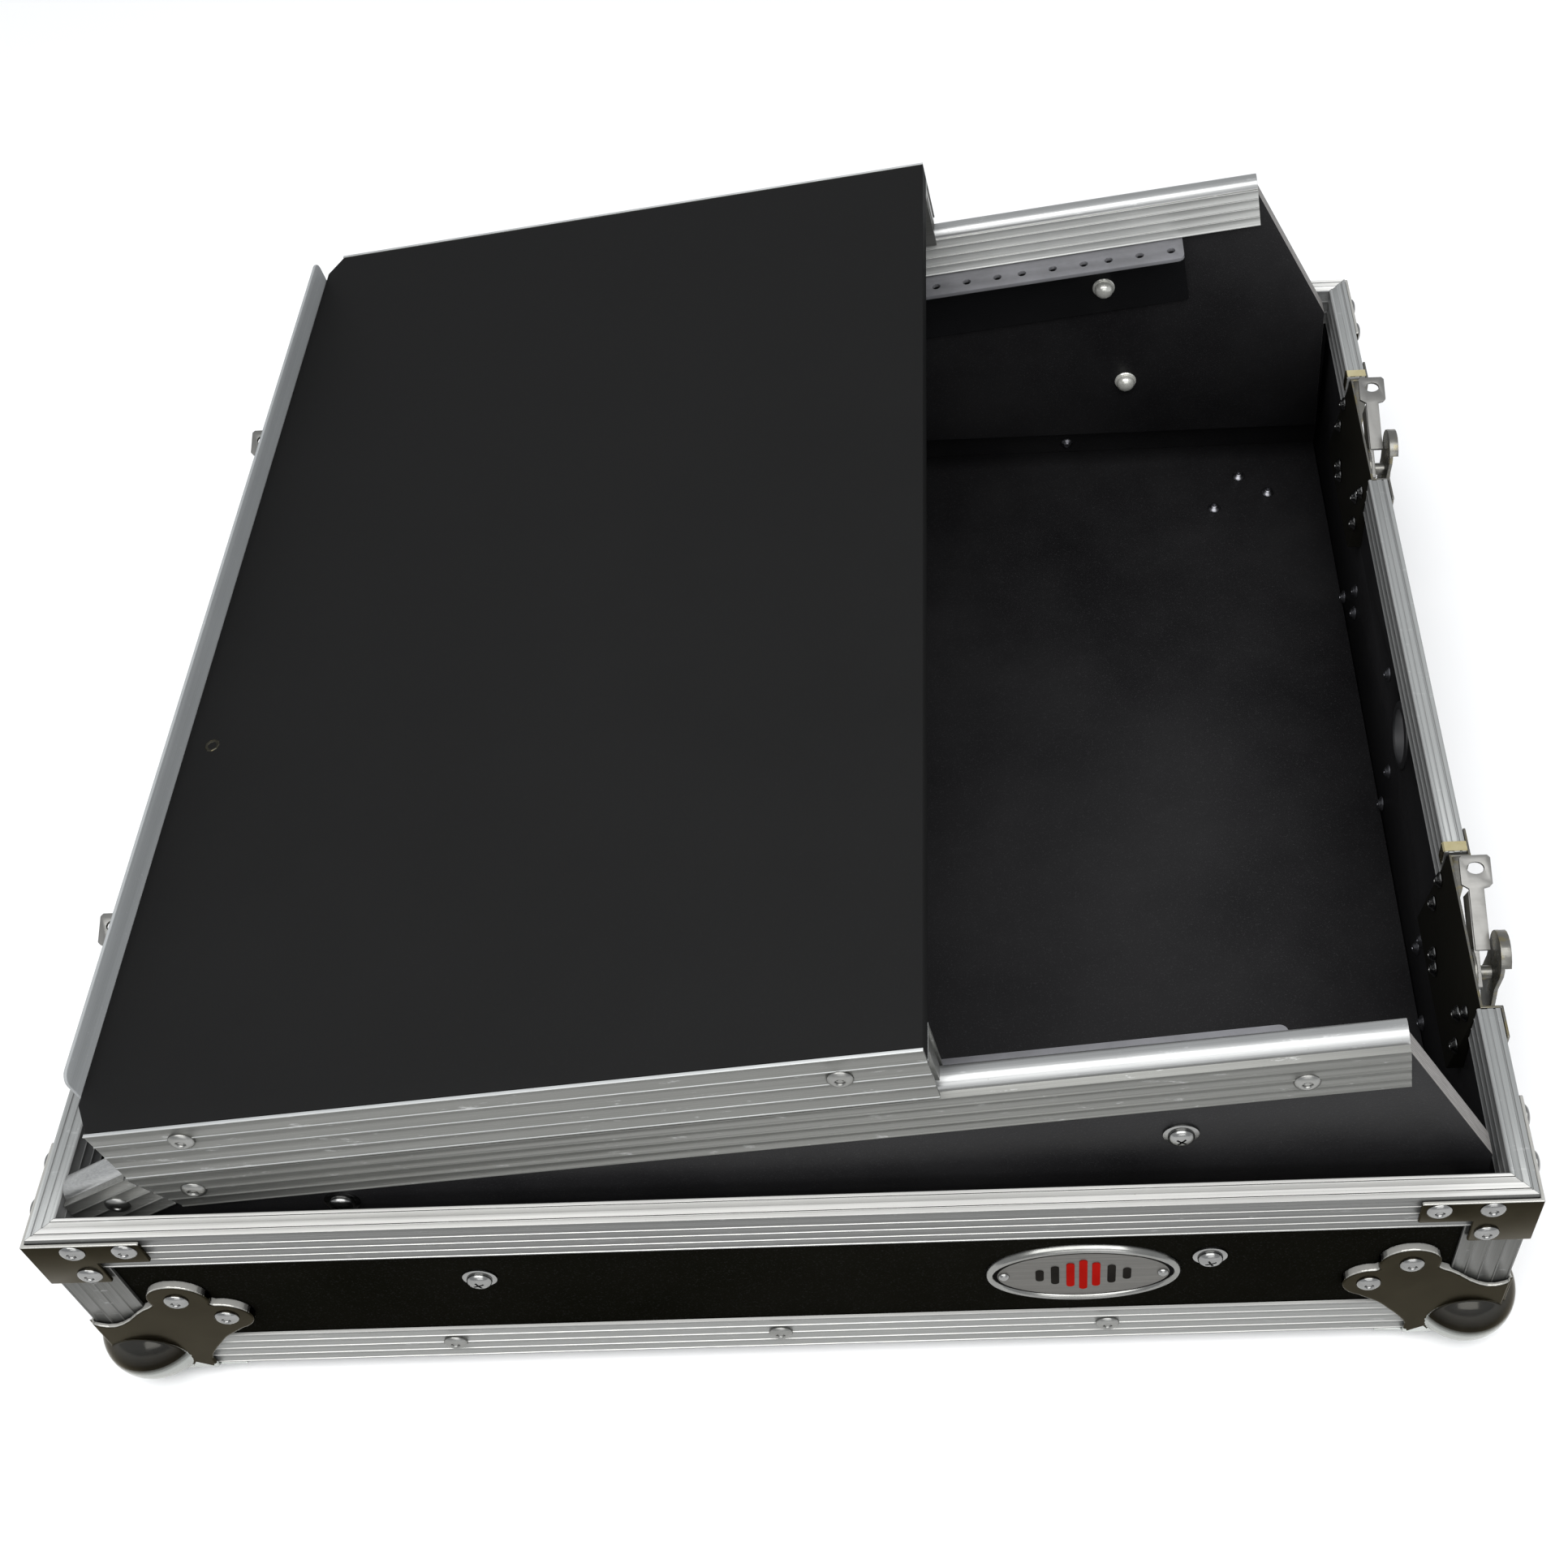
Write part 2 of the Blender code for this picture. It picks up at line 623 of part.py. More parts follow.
def build_lip(mats):
    """Upturned angle on the shelf's low edge that stops a laptop from sliding off."""
    face, sheet = SHELF_FRONT_U - GAP, SHEET
    under = SHELF_TOP - SHELF_BOARD - GAP
    top = SHELF_TOP + LIP_HEIGHT
    half, radius = CHANNEL_INNER - 2 * GAP, LIP_CORNER
    upright = [(-half, under - sheet), (half, under - sheet)]
    upright += arc((half - radius, top - radius), radius, 0.0, 90.0, 5)
    upright += arc((-half + radius, top - radius), radius, 90.0, 180.0, 5)
    rings = [[slope_point(u, y, n) for y, n in upright] for u in (face - sheet, face)]
    lip = make_object("shelf_lip", solid_from_rings(rings), mats["lip"])
    foot = [(face - sheet / 2, under - sheet), (face + 0.022, under - sheet), (face + 0.022, under),
            (face - sheet / 2, under)]
    rings = [[slope_point(u, y, n) for u, n in foot] for y in (-half, half)]
    join(lip, make_object("shelf_lip_foot", solid_from_rings(rings), mats["lip"]))


# ---------------------------------------------------------------- latches

def dish_back(z):
    """Depth of a dish's sloping back at a height over the tray's underside."""
    top, foot = TRAY_HEIGHT, TRAY_HEIGHT - 0.045
    return 0.0065 + (top - z) / (top - foot) * 0.0071


def build_dish(name, wall, s_middle, mats):
    """Recessed pan, open at the rim, with a flange on the wall's outer face and a pivot stud."""
    steel = mats["zinc"]
    sheet = 0.0012
    top, foot = TRAY_HEIGHT - 0.0008, TRAY_HEIGHT - 0.045
    flange = wall_prism(name, flange_outline(s_middle), wall, (-0.0014, -0.0002), steel)
    outer = [(-0.0014, top), (dish_back(top) + sheet, top), (dish_back(foot) + sheet, foot - sheet),
             (-0.0014, foot - sheet)]
    inner = [(-0.0100, top + 0.01), (dish_back(top + 0.01), top + 0.01), (dish_back(foot), foot),
             (-0.0100, foot)]
    half = NOTCH_WIDTH / 2 - 0.0006
    for label, outline, reach, action in (("pan", outer, half, join), ("hollow", inner, half - sheet, cut)):
        rings = [[wall_point(wall, n, s_middle + side * reach, z) for n, z in outline]
                 for side in (-1, 1)]
        action(flange, make_object(f"{name}_{label}", solid_from_rings(rings), steel))
    stud = circle((s_middle + PIVOT_OFFSET[wall], PIVOT_Z), 0.0030, 16)
    join(flange, wall_prism(f"{name}_stud", stud, wall, (0.0027, dish_back(PIVOT_Z) + sheet / 2), steel))


def flange_outline(s_middle):
    """Outer flange of a dish, with rounded lower corners."""
    half, radius = 0.0510, 0.0100
    low, top = TRAY_HEIGHT - 0.0580, TRAY_HEIGHT - 0.0008
    right = arc((s_middle + half - radius, low + radius), radius, -90.0, 0.0, 4)
    left = arc((s_middle - half + radius, low + radius), radius, 180.0, 270.0, 4)
    return left + right + [(s_middle + half, top), (s_middle - half, top)]


def latch_point(wall, s_middle, a, p, n):
    """World point from a along the hook's arm and p across it, turned about the pivot."""
    ca, sa = math.cos(HOOK_TILT), math.sin(HOOK_TILT)
    s = s_middle + PIVOT_OFFSET[wall] + a * ca - p * sa
    return wall_point(wall, n, s, PIVOT_Z + a * sa + p * ca)


def hook_slot():
    """Slot that lets the hook draw in along its arm past the knob's shaft."""
    return arc((0.0, 0.0), 0.0034, 90.0, 270.0, 8) + arc((0.0042, 0.0), 0.0034, -90.0, 90.0, 8)


def arm_prism(name, outline, wall, s_middle, n_range, mat):
    rings = [[latch_point(wall, s_middle, a, p, n) for a, p in outline] for n in n_range]
    return make_object(name, solid_from_rings(rings), mat)


def flange_prism(name, outline, wall, s_middle, p_range, mat):
    """Plate across the hook's web: outline in (a, n)."""
    rings = [[latch_point(wall, s_middle, a, p, n) for a, n in outline] for p in p_range]
    return make_object(name, solid_from_rings(rings), mat)


def build_latch(name, wall, s_middle, mats):
    zinc = mats["zinc"]
    build_dish(f"{name}_dish", wall, s_middle, mats)
    hub = (s_middle + PIVOT_OFFSET[wall], PIVOT_Z)
    carrier = wall_prism(f"{name}_carrier", circle(hub, 0.0105, 24), wall, (0.0026, 0.0040), zinc)
    cut(carrier, wall_prism(f"{name}_carrier_hole", circle(hub, 0.0033, 16), wall, (-0.01, 0.02), zinc))
    web = [(-0.0070, -0.0045), (0.0330, -0.0045), (0.0330, 0.0055), (-0.0070, 0.0055)]
    hook = arm_prism(f"{name}_hook", web, wall, s_middle, (0.0003, 0.0023), zinc)
    blade = [(0.0080, -0.0042), (0.0338, -0.0042), (0.0345, -0.0068), (0.0357, -0.0080),
             (0.0468, -0.0080), (0.0480, -0.0068), (0.0480, 0.0036), (0.0468, 0.0048),
             (0.0357, 0.0048), (0.0338, 0.0019), (0.0080, 0.0019)]
    join(hook, flange_prism(f"{name}_blade", blade, wall, s_middle, (0.0048, 0.0064), zinc))
    hole = [(0.0425 + 0.0026 * math.cos(t), -0.0016 + 0.0036 * math.sin(t))
            for t in (2 * math.pi * i / 16 for i in range(16))]
    cut(hook, flange_prism(f"{name}_eye_hole", hole, wall, s_middle, (0.0, 0.012), zinc))
    cut(hook, arm_prism(f"{name}_slot", hook_slot(), wall, s_middle, (-0.01, 0.02), zinc))
    build_knob(f"{name}_knob", wall, hub, mats)


def turned(outline, hub, degrees):
    """An outline turned about the hub."""
    ca, sa = math.cos(math.radians(degrees)), math.sin(math.radians(degrees))
    return [(hub[0] + (s - hub[0]) * ca - (z - hub[1]) * sa,
             hub[1] + (s - hub[0]) * sa + (z - hub[1]) * ca) for s, z in outline]


def build_knob(name, wall, hub, mats):
    """Butterfly handle: a waisted plate with two turned-out wings on a short shaft."""
    zinc = mats["zinc"]
    s, z = hub
    half_width, reach = 0.0105, 0.0120
    upper = arc((s, z + reach), half_width, 0.0, 180.0, 10)
    lower = arc((s, z - reach), half_width, 180.0, 360.0, 10)
    waist = 0.0085
    outline = turned(upper + [(s - waist, z)] + lower + [(s + waist, z)], hub, KNOB_TURN[wall])
    knob = wall_prism(name, outline, wall, (-0.0062, -0.0046), zinc)
    for sign, label in ((1, "upper"), (-1, "lower")):
        start, end = (25.0, 155.0) if sign > 0 else (205.0, 335.0)
        outer = arc((s, z + sign * reach), half_width, start, end, 8)
        inner = arc((s, z + sign * reach), half_width - 0.0016, end, start, 8)
        wing = turned(outer + inner, hub, KNOB_TURN[wall])
        join(knob, wall_prism(f"{name}_{label}", wing, wall, (-0.0088, -0.0050), zinc))
    join(knob, wall_prism(f"{name}_boss", circle(hub, 0.0062, 16), wall, (-0.0072, -0.0048), zinc))
    join(knob, wall_prism(f"{name}_shaft", circle(hub, 0.0030, 16), wall, (-0.0050, 0.0023), zinc))


def build_latches(mats):
    for wall in ("front", "rear"):
        for label, sign in (("left", 1), ("right", -1)):
            build_latch(f"latch_{wall}_{label}", wall, sign * LATCH_S, mats)


# ---------------------------------------------------------------- badge

def oval(length, height, steps=36):
    return [(BADGE_X + length / 2 * math.cos(t), BADGE_Z + height / 2 * math.sin(t))
            for t in (2 * math.pi * i / steps for i in range(steps))]


def build_badge(mats):
    """Plain oval nameplate without lettering: a domed ring round a flat plate."""
    face = PLY_INSET - 0.0002
    rim = 0.0130
    stations = ((0.0, 0.0), (0.0012, 0.0002), (0.0030, 0.0022), (0.0036, 0.0052), (0.0030, 0.0090),
                (0.0012, rim))
    rings = []
    for height, inset in stations:
        points = oval(BADGE_LENGTH - 2 * inset, BADGE_HEIGHT - 2 * inset)
        rings.append([wall_point("right", face - height, s, z) for s, z in points])
    make_object("badge", solid_from_rings(rings), mats["badge"], smooth=True)


def main():
    clear_scene()
    mats = make_materials()
    build_walls(mats)
    build_extrusions(mats)
    build_corner_hardware(mats)
    build_rack(mats)
    build_shelf(mats)
    build_latches(mats)
    build_badge(mats)


main()
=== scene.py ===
"""Looks of the open rack case base: materials, fittings, stage, lights and camera."""

import json
import math

import bmesh
import bpy
from mathutils import Matrix, Vector

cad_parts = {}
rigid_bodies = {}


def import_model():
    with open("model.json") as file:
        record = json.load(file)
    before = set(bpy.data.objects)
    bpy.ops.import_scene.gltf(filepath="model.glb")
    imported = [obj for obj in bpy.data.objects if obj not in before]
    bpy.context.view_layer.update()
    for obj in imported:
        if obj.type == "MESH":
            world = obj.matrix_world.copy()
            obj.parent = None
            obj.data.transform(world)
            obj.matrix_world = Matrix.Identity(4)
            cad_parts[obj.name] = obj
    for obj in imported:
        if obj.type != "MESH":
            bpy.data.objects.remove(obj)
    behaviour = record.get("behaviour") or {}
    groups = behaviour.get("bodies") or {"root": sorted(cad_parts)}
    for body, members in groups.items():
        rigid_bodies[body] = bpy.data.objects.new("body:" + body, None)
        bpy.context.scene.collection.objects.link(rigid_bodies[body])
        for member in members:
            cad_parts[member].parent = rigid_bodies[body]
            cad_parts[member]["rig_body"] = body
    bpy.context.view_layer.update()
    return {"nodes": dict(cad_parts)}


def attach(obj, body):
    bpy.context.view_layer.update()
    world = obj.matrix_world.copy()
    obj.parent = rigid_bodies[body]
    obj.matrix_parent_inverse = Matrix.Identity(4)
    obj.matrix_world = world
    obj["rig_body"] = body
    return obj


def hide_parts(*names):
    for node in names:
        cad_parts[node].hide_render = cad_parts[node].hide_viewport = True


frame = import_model()
NODES = frame["nodes"]

MM = 0.001
HALF_LENGTH, HALF_WIDTH = 0.2815, 0.2700
BALL_DROP = 0.009
TRAY_TOP = 115.0                     # height of the rim over the tray's underside, mm
SHELF_TOP = 199.3                    # height of the shelf's upper face at x = 0, mm
SLOPE_RATIO = 0.1323
SLOPE = math.atan(SLOPE_RATIO)
SIN, COS = math.sin(SLOPE), math.cos(SLOPE)
LATCH_S = 151.3                      # middle of each latch dish along its wall, mm
SIDES = (("left", 1), ("right", -1))

PAN_DEPTH, PAN_FALL = 7.7, 7.1       # dish pan's depth at the tray's edge, and how much it gains, mm
PAN_HEIGHT = 45.0                    # height over which it gains that, mm
BEAD_LEVEL = 0.16245                 # slope height where a rail's rounded back starts, m
FRONT_BEAD = (0.2418, 0.2522)        # rounded back of the short front rails, from the middle, m
FLANGE_LEVEL = 0.1379                # slope height where a rack rail's bare flange starts, m
FLANGE_EDGE = 0.2424                 # and its outer edge, from the middle, m
BALL_RADIUS, BALL_INSET, BALL_HEIGHT = 21.4, 11.6, 12.5
BALL_SKIN = 0.35                     # how far past its radius a face still counts as the ball, mm
PAINTED_HIGHLIGHT_HEIGHT = 3.6                    # height of the painted highlight along the lower margin of a ball corner's plates, mm
BADGE_X, BADGE_Z = 114.4, 60.0
BADGE_STEPS = 72
PORT_Y, PORT_Z = -16.0, 75.0


# ---------------------------------------------------------------- shader helpers

def add(tree, kind, inputs=None, **props):
    """New shader node; an input given as a socket is linked, anything else is set."""
    node = tree.nodes.new("ShaderNode" + kind)
    for key, value in props.items():
        setattr(node, key, value)
    for key, value in (inputs or {}).items():
        if isinstance(value, bpy.types.NodeSocket):
            tree.links.new(value, node.inputs[key])
        else:
            node.inputs[key].default_value = value
    return node


def new_material(name, roughness=0.5, metallic=0.0, specular=0.5, glancing=(1.0, 1.0, 1.0)):
    mat = bpy.data.materials.new(name)
    mat.use_nodes = True
    shader = mat.node_tree.nodes["Principled BSDF"]
    shader.inputs["Roughness"].default_value = roughness
    shader.inputs["Metallic"].default_value = metallic
    shader.inputs["Specular IOR Level"].default_value = specular
    shader.inputs["Specular Tint"].default_value = (*glancing, 1.0)
    return mat, mat.node_tree, shader


def placed(tree, scale=(1, 1, 1), tilt=0.0):
    """Object coordinates turned so that X runs along a bar, then stretched by 1/scale."""
    source = add(tree, "TexCoord")
    turn = add(tree, "Mapping", {"Vector": source.outputs["Object"], "Rotation": (0, tilt, 0),
                                 "Scale": scale}, vector_type="TEXTURE")
    return turn.outputs["Vector"]


def noise(tree, vector, scale, detail=3.0, rough=0.5):
    node = add(tree, "TexNoise", {"Vector": vector, "Scale": scale, "Detail": detail,
                                  "Roughness": rough})
    return node.outputs["Fac"]


def spread(tree, value, low, high, to_low, to_high):
    node = add(tree, "MapRange", {"Value": value, "From Min": low, "From Max": high,
                                  "To Min": to_low, "To Max": to_high})
    return node.outputs["Result"]


def blend_colours(tree, factor, first, second, mode="MIX"):
    node = add(tree, "Mix", data_type="RGBA", blend_type=mode)
    for socket, value in ((node.inputs[0], factor), (node.inputs[6], first), (node.inputs[7], second)):
        if isinstance(value, bpy.types.NodeSocket):
            tree.links.new(value, socket)
        elif isinstance(value, tuple):
            socket.default_value = (*value, 1.0)
        else:
            socket.default_value = value
    return node.outputs[2]


def bump(tree, height, strength, distance, normal=None):
    inputs = {"Height": height, "Strength": strength, "Distance": distance}
    if normal is not None:
        inputs["Normal"] = normal
    return add(tree, "Bump", inputs).outputs["Normal"]


def connect(tree, shader, **sockets):
    names = {"colour": "Base Color", "rough": "Roughness", "normal": "Normal"}
    for key, value in sockets.items():
        tree.links.new(value, shader.inputs[names[key]])


# ---------------------------------------------------------------- materials

AXIS_SCALES = {"x": (0.30, 0.0006, 0.0006), "y": (0.0006, 0.30, 0.0006), "z": (0.0006, 0.0006, 0.30)}


def upward(tree, low, high):
    """0 where a surface is upright, rising to 1 where it faces up."""
    normal = add(tree, "NewGeometry").outputs["Normal"]
    height = add(tree, "SeparateXYZ", {"Vector": normal}).outputs["Z"]
    return spread(tree, height, low, high, 0.0, 1.0)


def downward(tree, low, high):
    """0 where a surface is upright, rising to 1 where it faces down."""
    normal = add(tree, "NewGeometry").outputs["Normal"]
    height = add(tree, "SeparateXYZ", {"Vector": normal}).outputs["Z"]
    return spread(tree, height, -low, -high, 0.0, 1.0)


def drawn_aluminium(name, axis, dark, light, tilt=0.0, metallic=0.62, wear=0.35, shine=(0.30, 0.42)):
    """Anodised extrusion: die lines along the bar, faint clouds, nicks and pale rubbed patches."""
    mat, tree, shader = new_material(name, 0.35, metallic, 0.5, (0.80, 0.80, 0.79))
    along = placed(tree, AXIS_SCALES[axis], tilt)
    plain = placed(tree)
    lines = noise(tree, along, 1.0, 3.0, 0.55)
    clouds = noise(tree, plain, 14.0, 5.0, 0.6)
    nicks = noise(tree, plain, 520.0, 2.0, 0.7)
    rubs = noise(tree, placed(tree, (0.012, 0.003, 0.003)), 1.0, 5.0, 0.7)
    base = blend_colours(tree, spread(tree, lines, 0.3, 0.7, 0.0, 1.0), dark, light)
    shade = spread(tree, clouds, 0.3, 0.75, 0.93, 1.03)
    tinted = blend_colours(tree, 1.0, base, shade, "MULTIPLY")
    rubbed = blend_colours(tree, spread(tree, rubs, 0.62, 0.74, 0.0, wear), tinted, (0.80, 0.81, 0.81))
    worn = blend_colours(tree, spread(tree, nicks, 0.72, 0.80, 0.0, 0.5), rubbed, (0.20, 0.19, 0.17))
    mixed = add(tree, "Math", {0: lines, 1: clouds}, operation="ADD").outputs[0]
    rough = spread(tree, mixed, 0.6, 1.4, *shine)
    normal = bump(tree, lines, 0.10, 0.0001, bump(tree, nicks, 0.05, 0.0002))
    connect(tree, shader, colour=worn, rough=rough, normal=normal)
    return mat


def black_laminate(name, dark, light, rough_low, rough_high, grain=900.0, scuffs=0.25,
                   specular=0.2, speckle=0.3):
    """Phenolic laminate: fine pebbled skin, cloudy sheen, pale scuffs and dust."""
    mat, tree, shader = new_material(name, 0.45, 0.0, specular)
    plain = placed(tree)
    pebbles = noise(tree, plain, grain, 2.0, 0.6)
    clouds = noise(tree, plain, 9.0, 5.0, 0.6)
    marks = noise(tree, placed(tree, (0.02, 0.004, 0.008)), 1.0, 6.0, 0.75)
    fine = noise(tree, plain, 1500.0, 1.0, 0.5)
    base = blend_colours(tree, spread(tree, clouds, 0.3, 0.7, 0.0, 1.0), dark, light)
    scuffed = blend_colours(tree, spread(tree, marks, 0.66, 0.80, 0.0, scuffs), base, (0.045, 0.045, 0.043))
    dusty = blend_colours(tree, spread(tree, fine, 0.60, 0.74, 0.0, speckle), scuffed, (0.05, 0.05, 0.052))
    rough = spread(tree, clouds, 0.3, 0.75, rough_low, rough_high)
    connect(tree, shader, colour=dusty, rough=rough, normal=bump(tree, pebbles, 0.35, 0.00015))
    return mat


def polished_metal(name, colour, shade, rough_low, rough_high, tint=None, metallic=1.0):
    """Plated or polished steel with smudges and hairlines."""
    mat, tree, shader = new_material(name, 0.15, metallic, 0.5, (0.80, 0.80, 0.79))
    plain = placed(tree)
    smudge = noise(tree, plain, 60.0, 5.0, 0.65)
    hair = noise(tree, placed(tree, (0.03, 0.0009, 0.0014)), 1.0, 3.0, 0.6)
    base = blend_colours(tree, spread(tree, smudge, 0.35, 0.7, 0.0, 1.0), colour, shade)
    if tint is not None:
        stain = noise(tree, plain, 140.0, 3.0, 0.6)
        base = blend_colours(tree, spread(tree, stain, 0.52, 0.66, 0.0, 0.6), base, tint)
    mixed = add(tree, "Math", {0: smudge, 1: hair}, operation="ADD").outputs[0]
    rough = spread(tree, mixed, 0.6, 1.4, rough_low, rough_high)
    connect(tree, shader, colour=base, rough=rough, normal=bump(tree, hair, 0.05, 0.0001))
    return mat


def nickel_with_painted_light(name, side_dark, side_light, top_highlight_mix=1.0, wide_floor_reflection=False):
    """Nickel plate: dark olive on upright faces, with a pale painted highlight where it is turned up and a
    pale painted reflection of the floor where it is turned under.

    Of the last two arguments, the first weakens the painted highlight on upper faces and the second widens
    the painted floor reflection underneath, for a ball.
    """
    mat, tree, shader = new_material(name, 0.15, 1.0, 0.5, (0.65, 0.63, 0.59))
    plain = placed(tree)
    smudge = noise(tree, plain, 55.0, 5.0, 0.65)
    hair = noise(tree, placed(tree, (0.03, 0.0009, 0.0014)), 1.0, 3.0, 0.6)
    side = blend_colours(tree, spread(tree, smudge, 0.35, 0.7, 0.0, 1.0), side_dark, side_light)
    top_highlight_mask = add(tree, "Math", {0: upward(tree, 0.25, 0.65), 1: top_highlight_mix}, operation="MULTIPLY").outputs[0]
    floor_reflection_mask = downward(tree, *((-0.16, 0.05) if wide_floor_reflection else (0.22, 0.50)))
    # painted highlight: a pale colour on faces turned up
    top = blend_colours(tree, top_highlight_mask, side, (0.40, 0.395, 0.37))
    # painted reflection of the floor: a pale colour on faces turned under
    under = blend_colours(tree, floor_reflection_mask, top, (0.31, 0.325, 0.31))
    turned = add(tree, "Math", {0: top_highlight_mask, 1: floor_reflection_mask}, operation="ADD", use_clamp=True).outputs[0]
    mixed = add(tree, "Math", {0: smudge, 1: hair}, operation="ADD").outputs[0]
    rough = spread(tree, mixed, 0.6, 1.4, 0.08, 0.22)
    connect(tree, shader, colour=under, rough=rough, normal=bump(tree, hair, 0.05, 0.0001))
    # faces with the painted highlight or painted reflection are made less metallic, so their pale colour
    # also takes diffuse light
    tree.links.new(spread(tree, turned, 0.0, 1.0, 1.0, 0.40), shader.inputs["Metallic"])
    return mat


def ply_layers(name):
    """Painted-over plywood edge: stacked veneers across Y, worn through in places."""
    mat, tree, shader = new_material(name, 0.7)
    plain = placed(tree)
    wave = add(tree, "TexWave", {"Vector": plain, "Scale": 260.0, "Distortion": 1.5, "Detail": 2.0},
               bands_direction="Y").outputs["Fac"]
    fibre = noise(tree, placed(tree, (0.01, 0.0012, 0.01)), 1.0, 4.0, 0.6)
    base = blend_colours(tree, wave, (0.135, 0.125, 0.115), (0.27, 0.26, 0.25))
    tinted = blend_colours(tree, spread(tree, fibre, 0.35, 0.7, 0.0, 0.6), base, (0.10, 0.095, 0.09))
    connect(tree, shader, colour=tinted, normal=bump(tree, fibre, 0.5, 0.0003))
    return mat


def moulded_plastic(name, dark, light, specular=0.5):
    mat, tree, shader = new_material(name, 0.5, 0.0, specular)
    grain = noise(tree, placed(tree), 1400.0, 2.0, 0.5)
    clouds = noise(tree, placed(tree), 40.0, 3.0, 0.5)
    base = blend_colours(tree, spread(tree, clouds, 0.3, 0.7, 0.0, 1.0), dark, light)
    connect(tree, shader, colour=base, rough=spread(tree, clouds, 0.3, 0.7, 0.38, 0.55),
            normal=bump(tree, grain, 0.2, 0.0001))
    return mat


def floor_material():
    mat, tree, shader = new_material("stage_floor", 0.6)
    clouds = noise(tree, placed(tree), 3.0, 2.0, 0.5)
    connect(tree, shader, colour=blend_colours(tree, clouds, (0.86, 0.86, 0.86), (0.88, 0.88, 0.88)))
    return mat
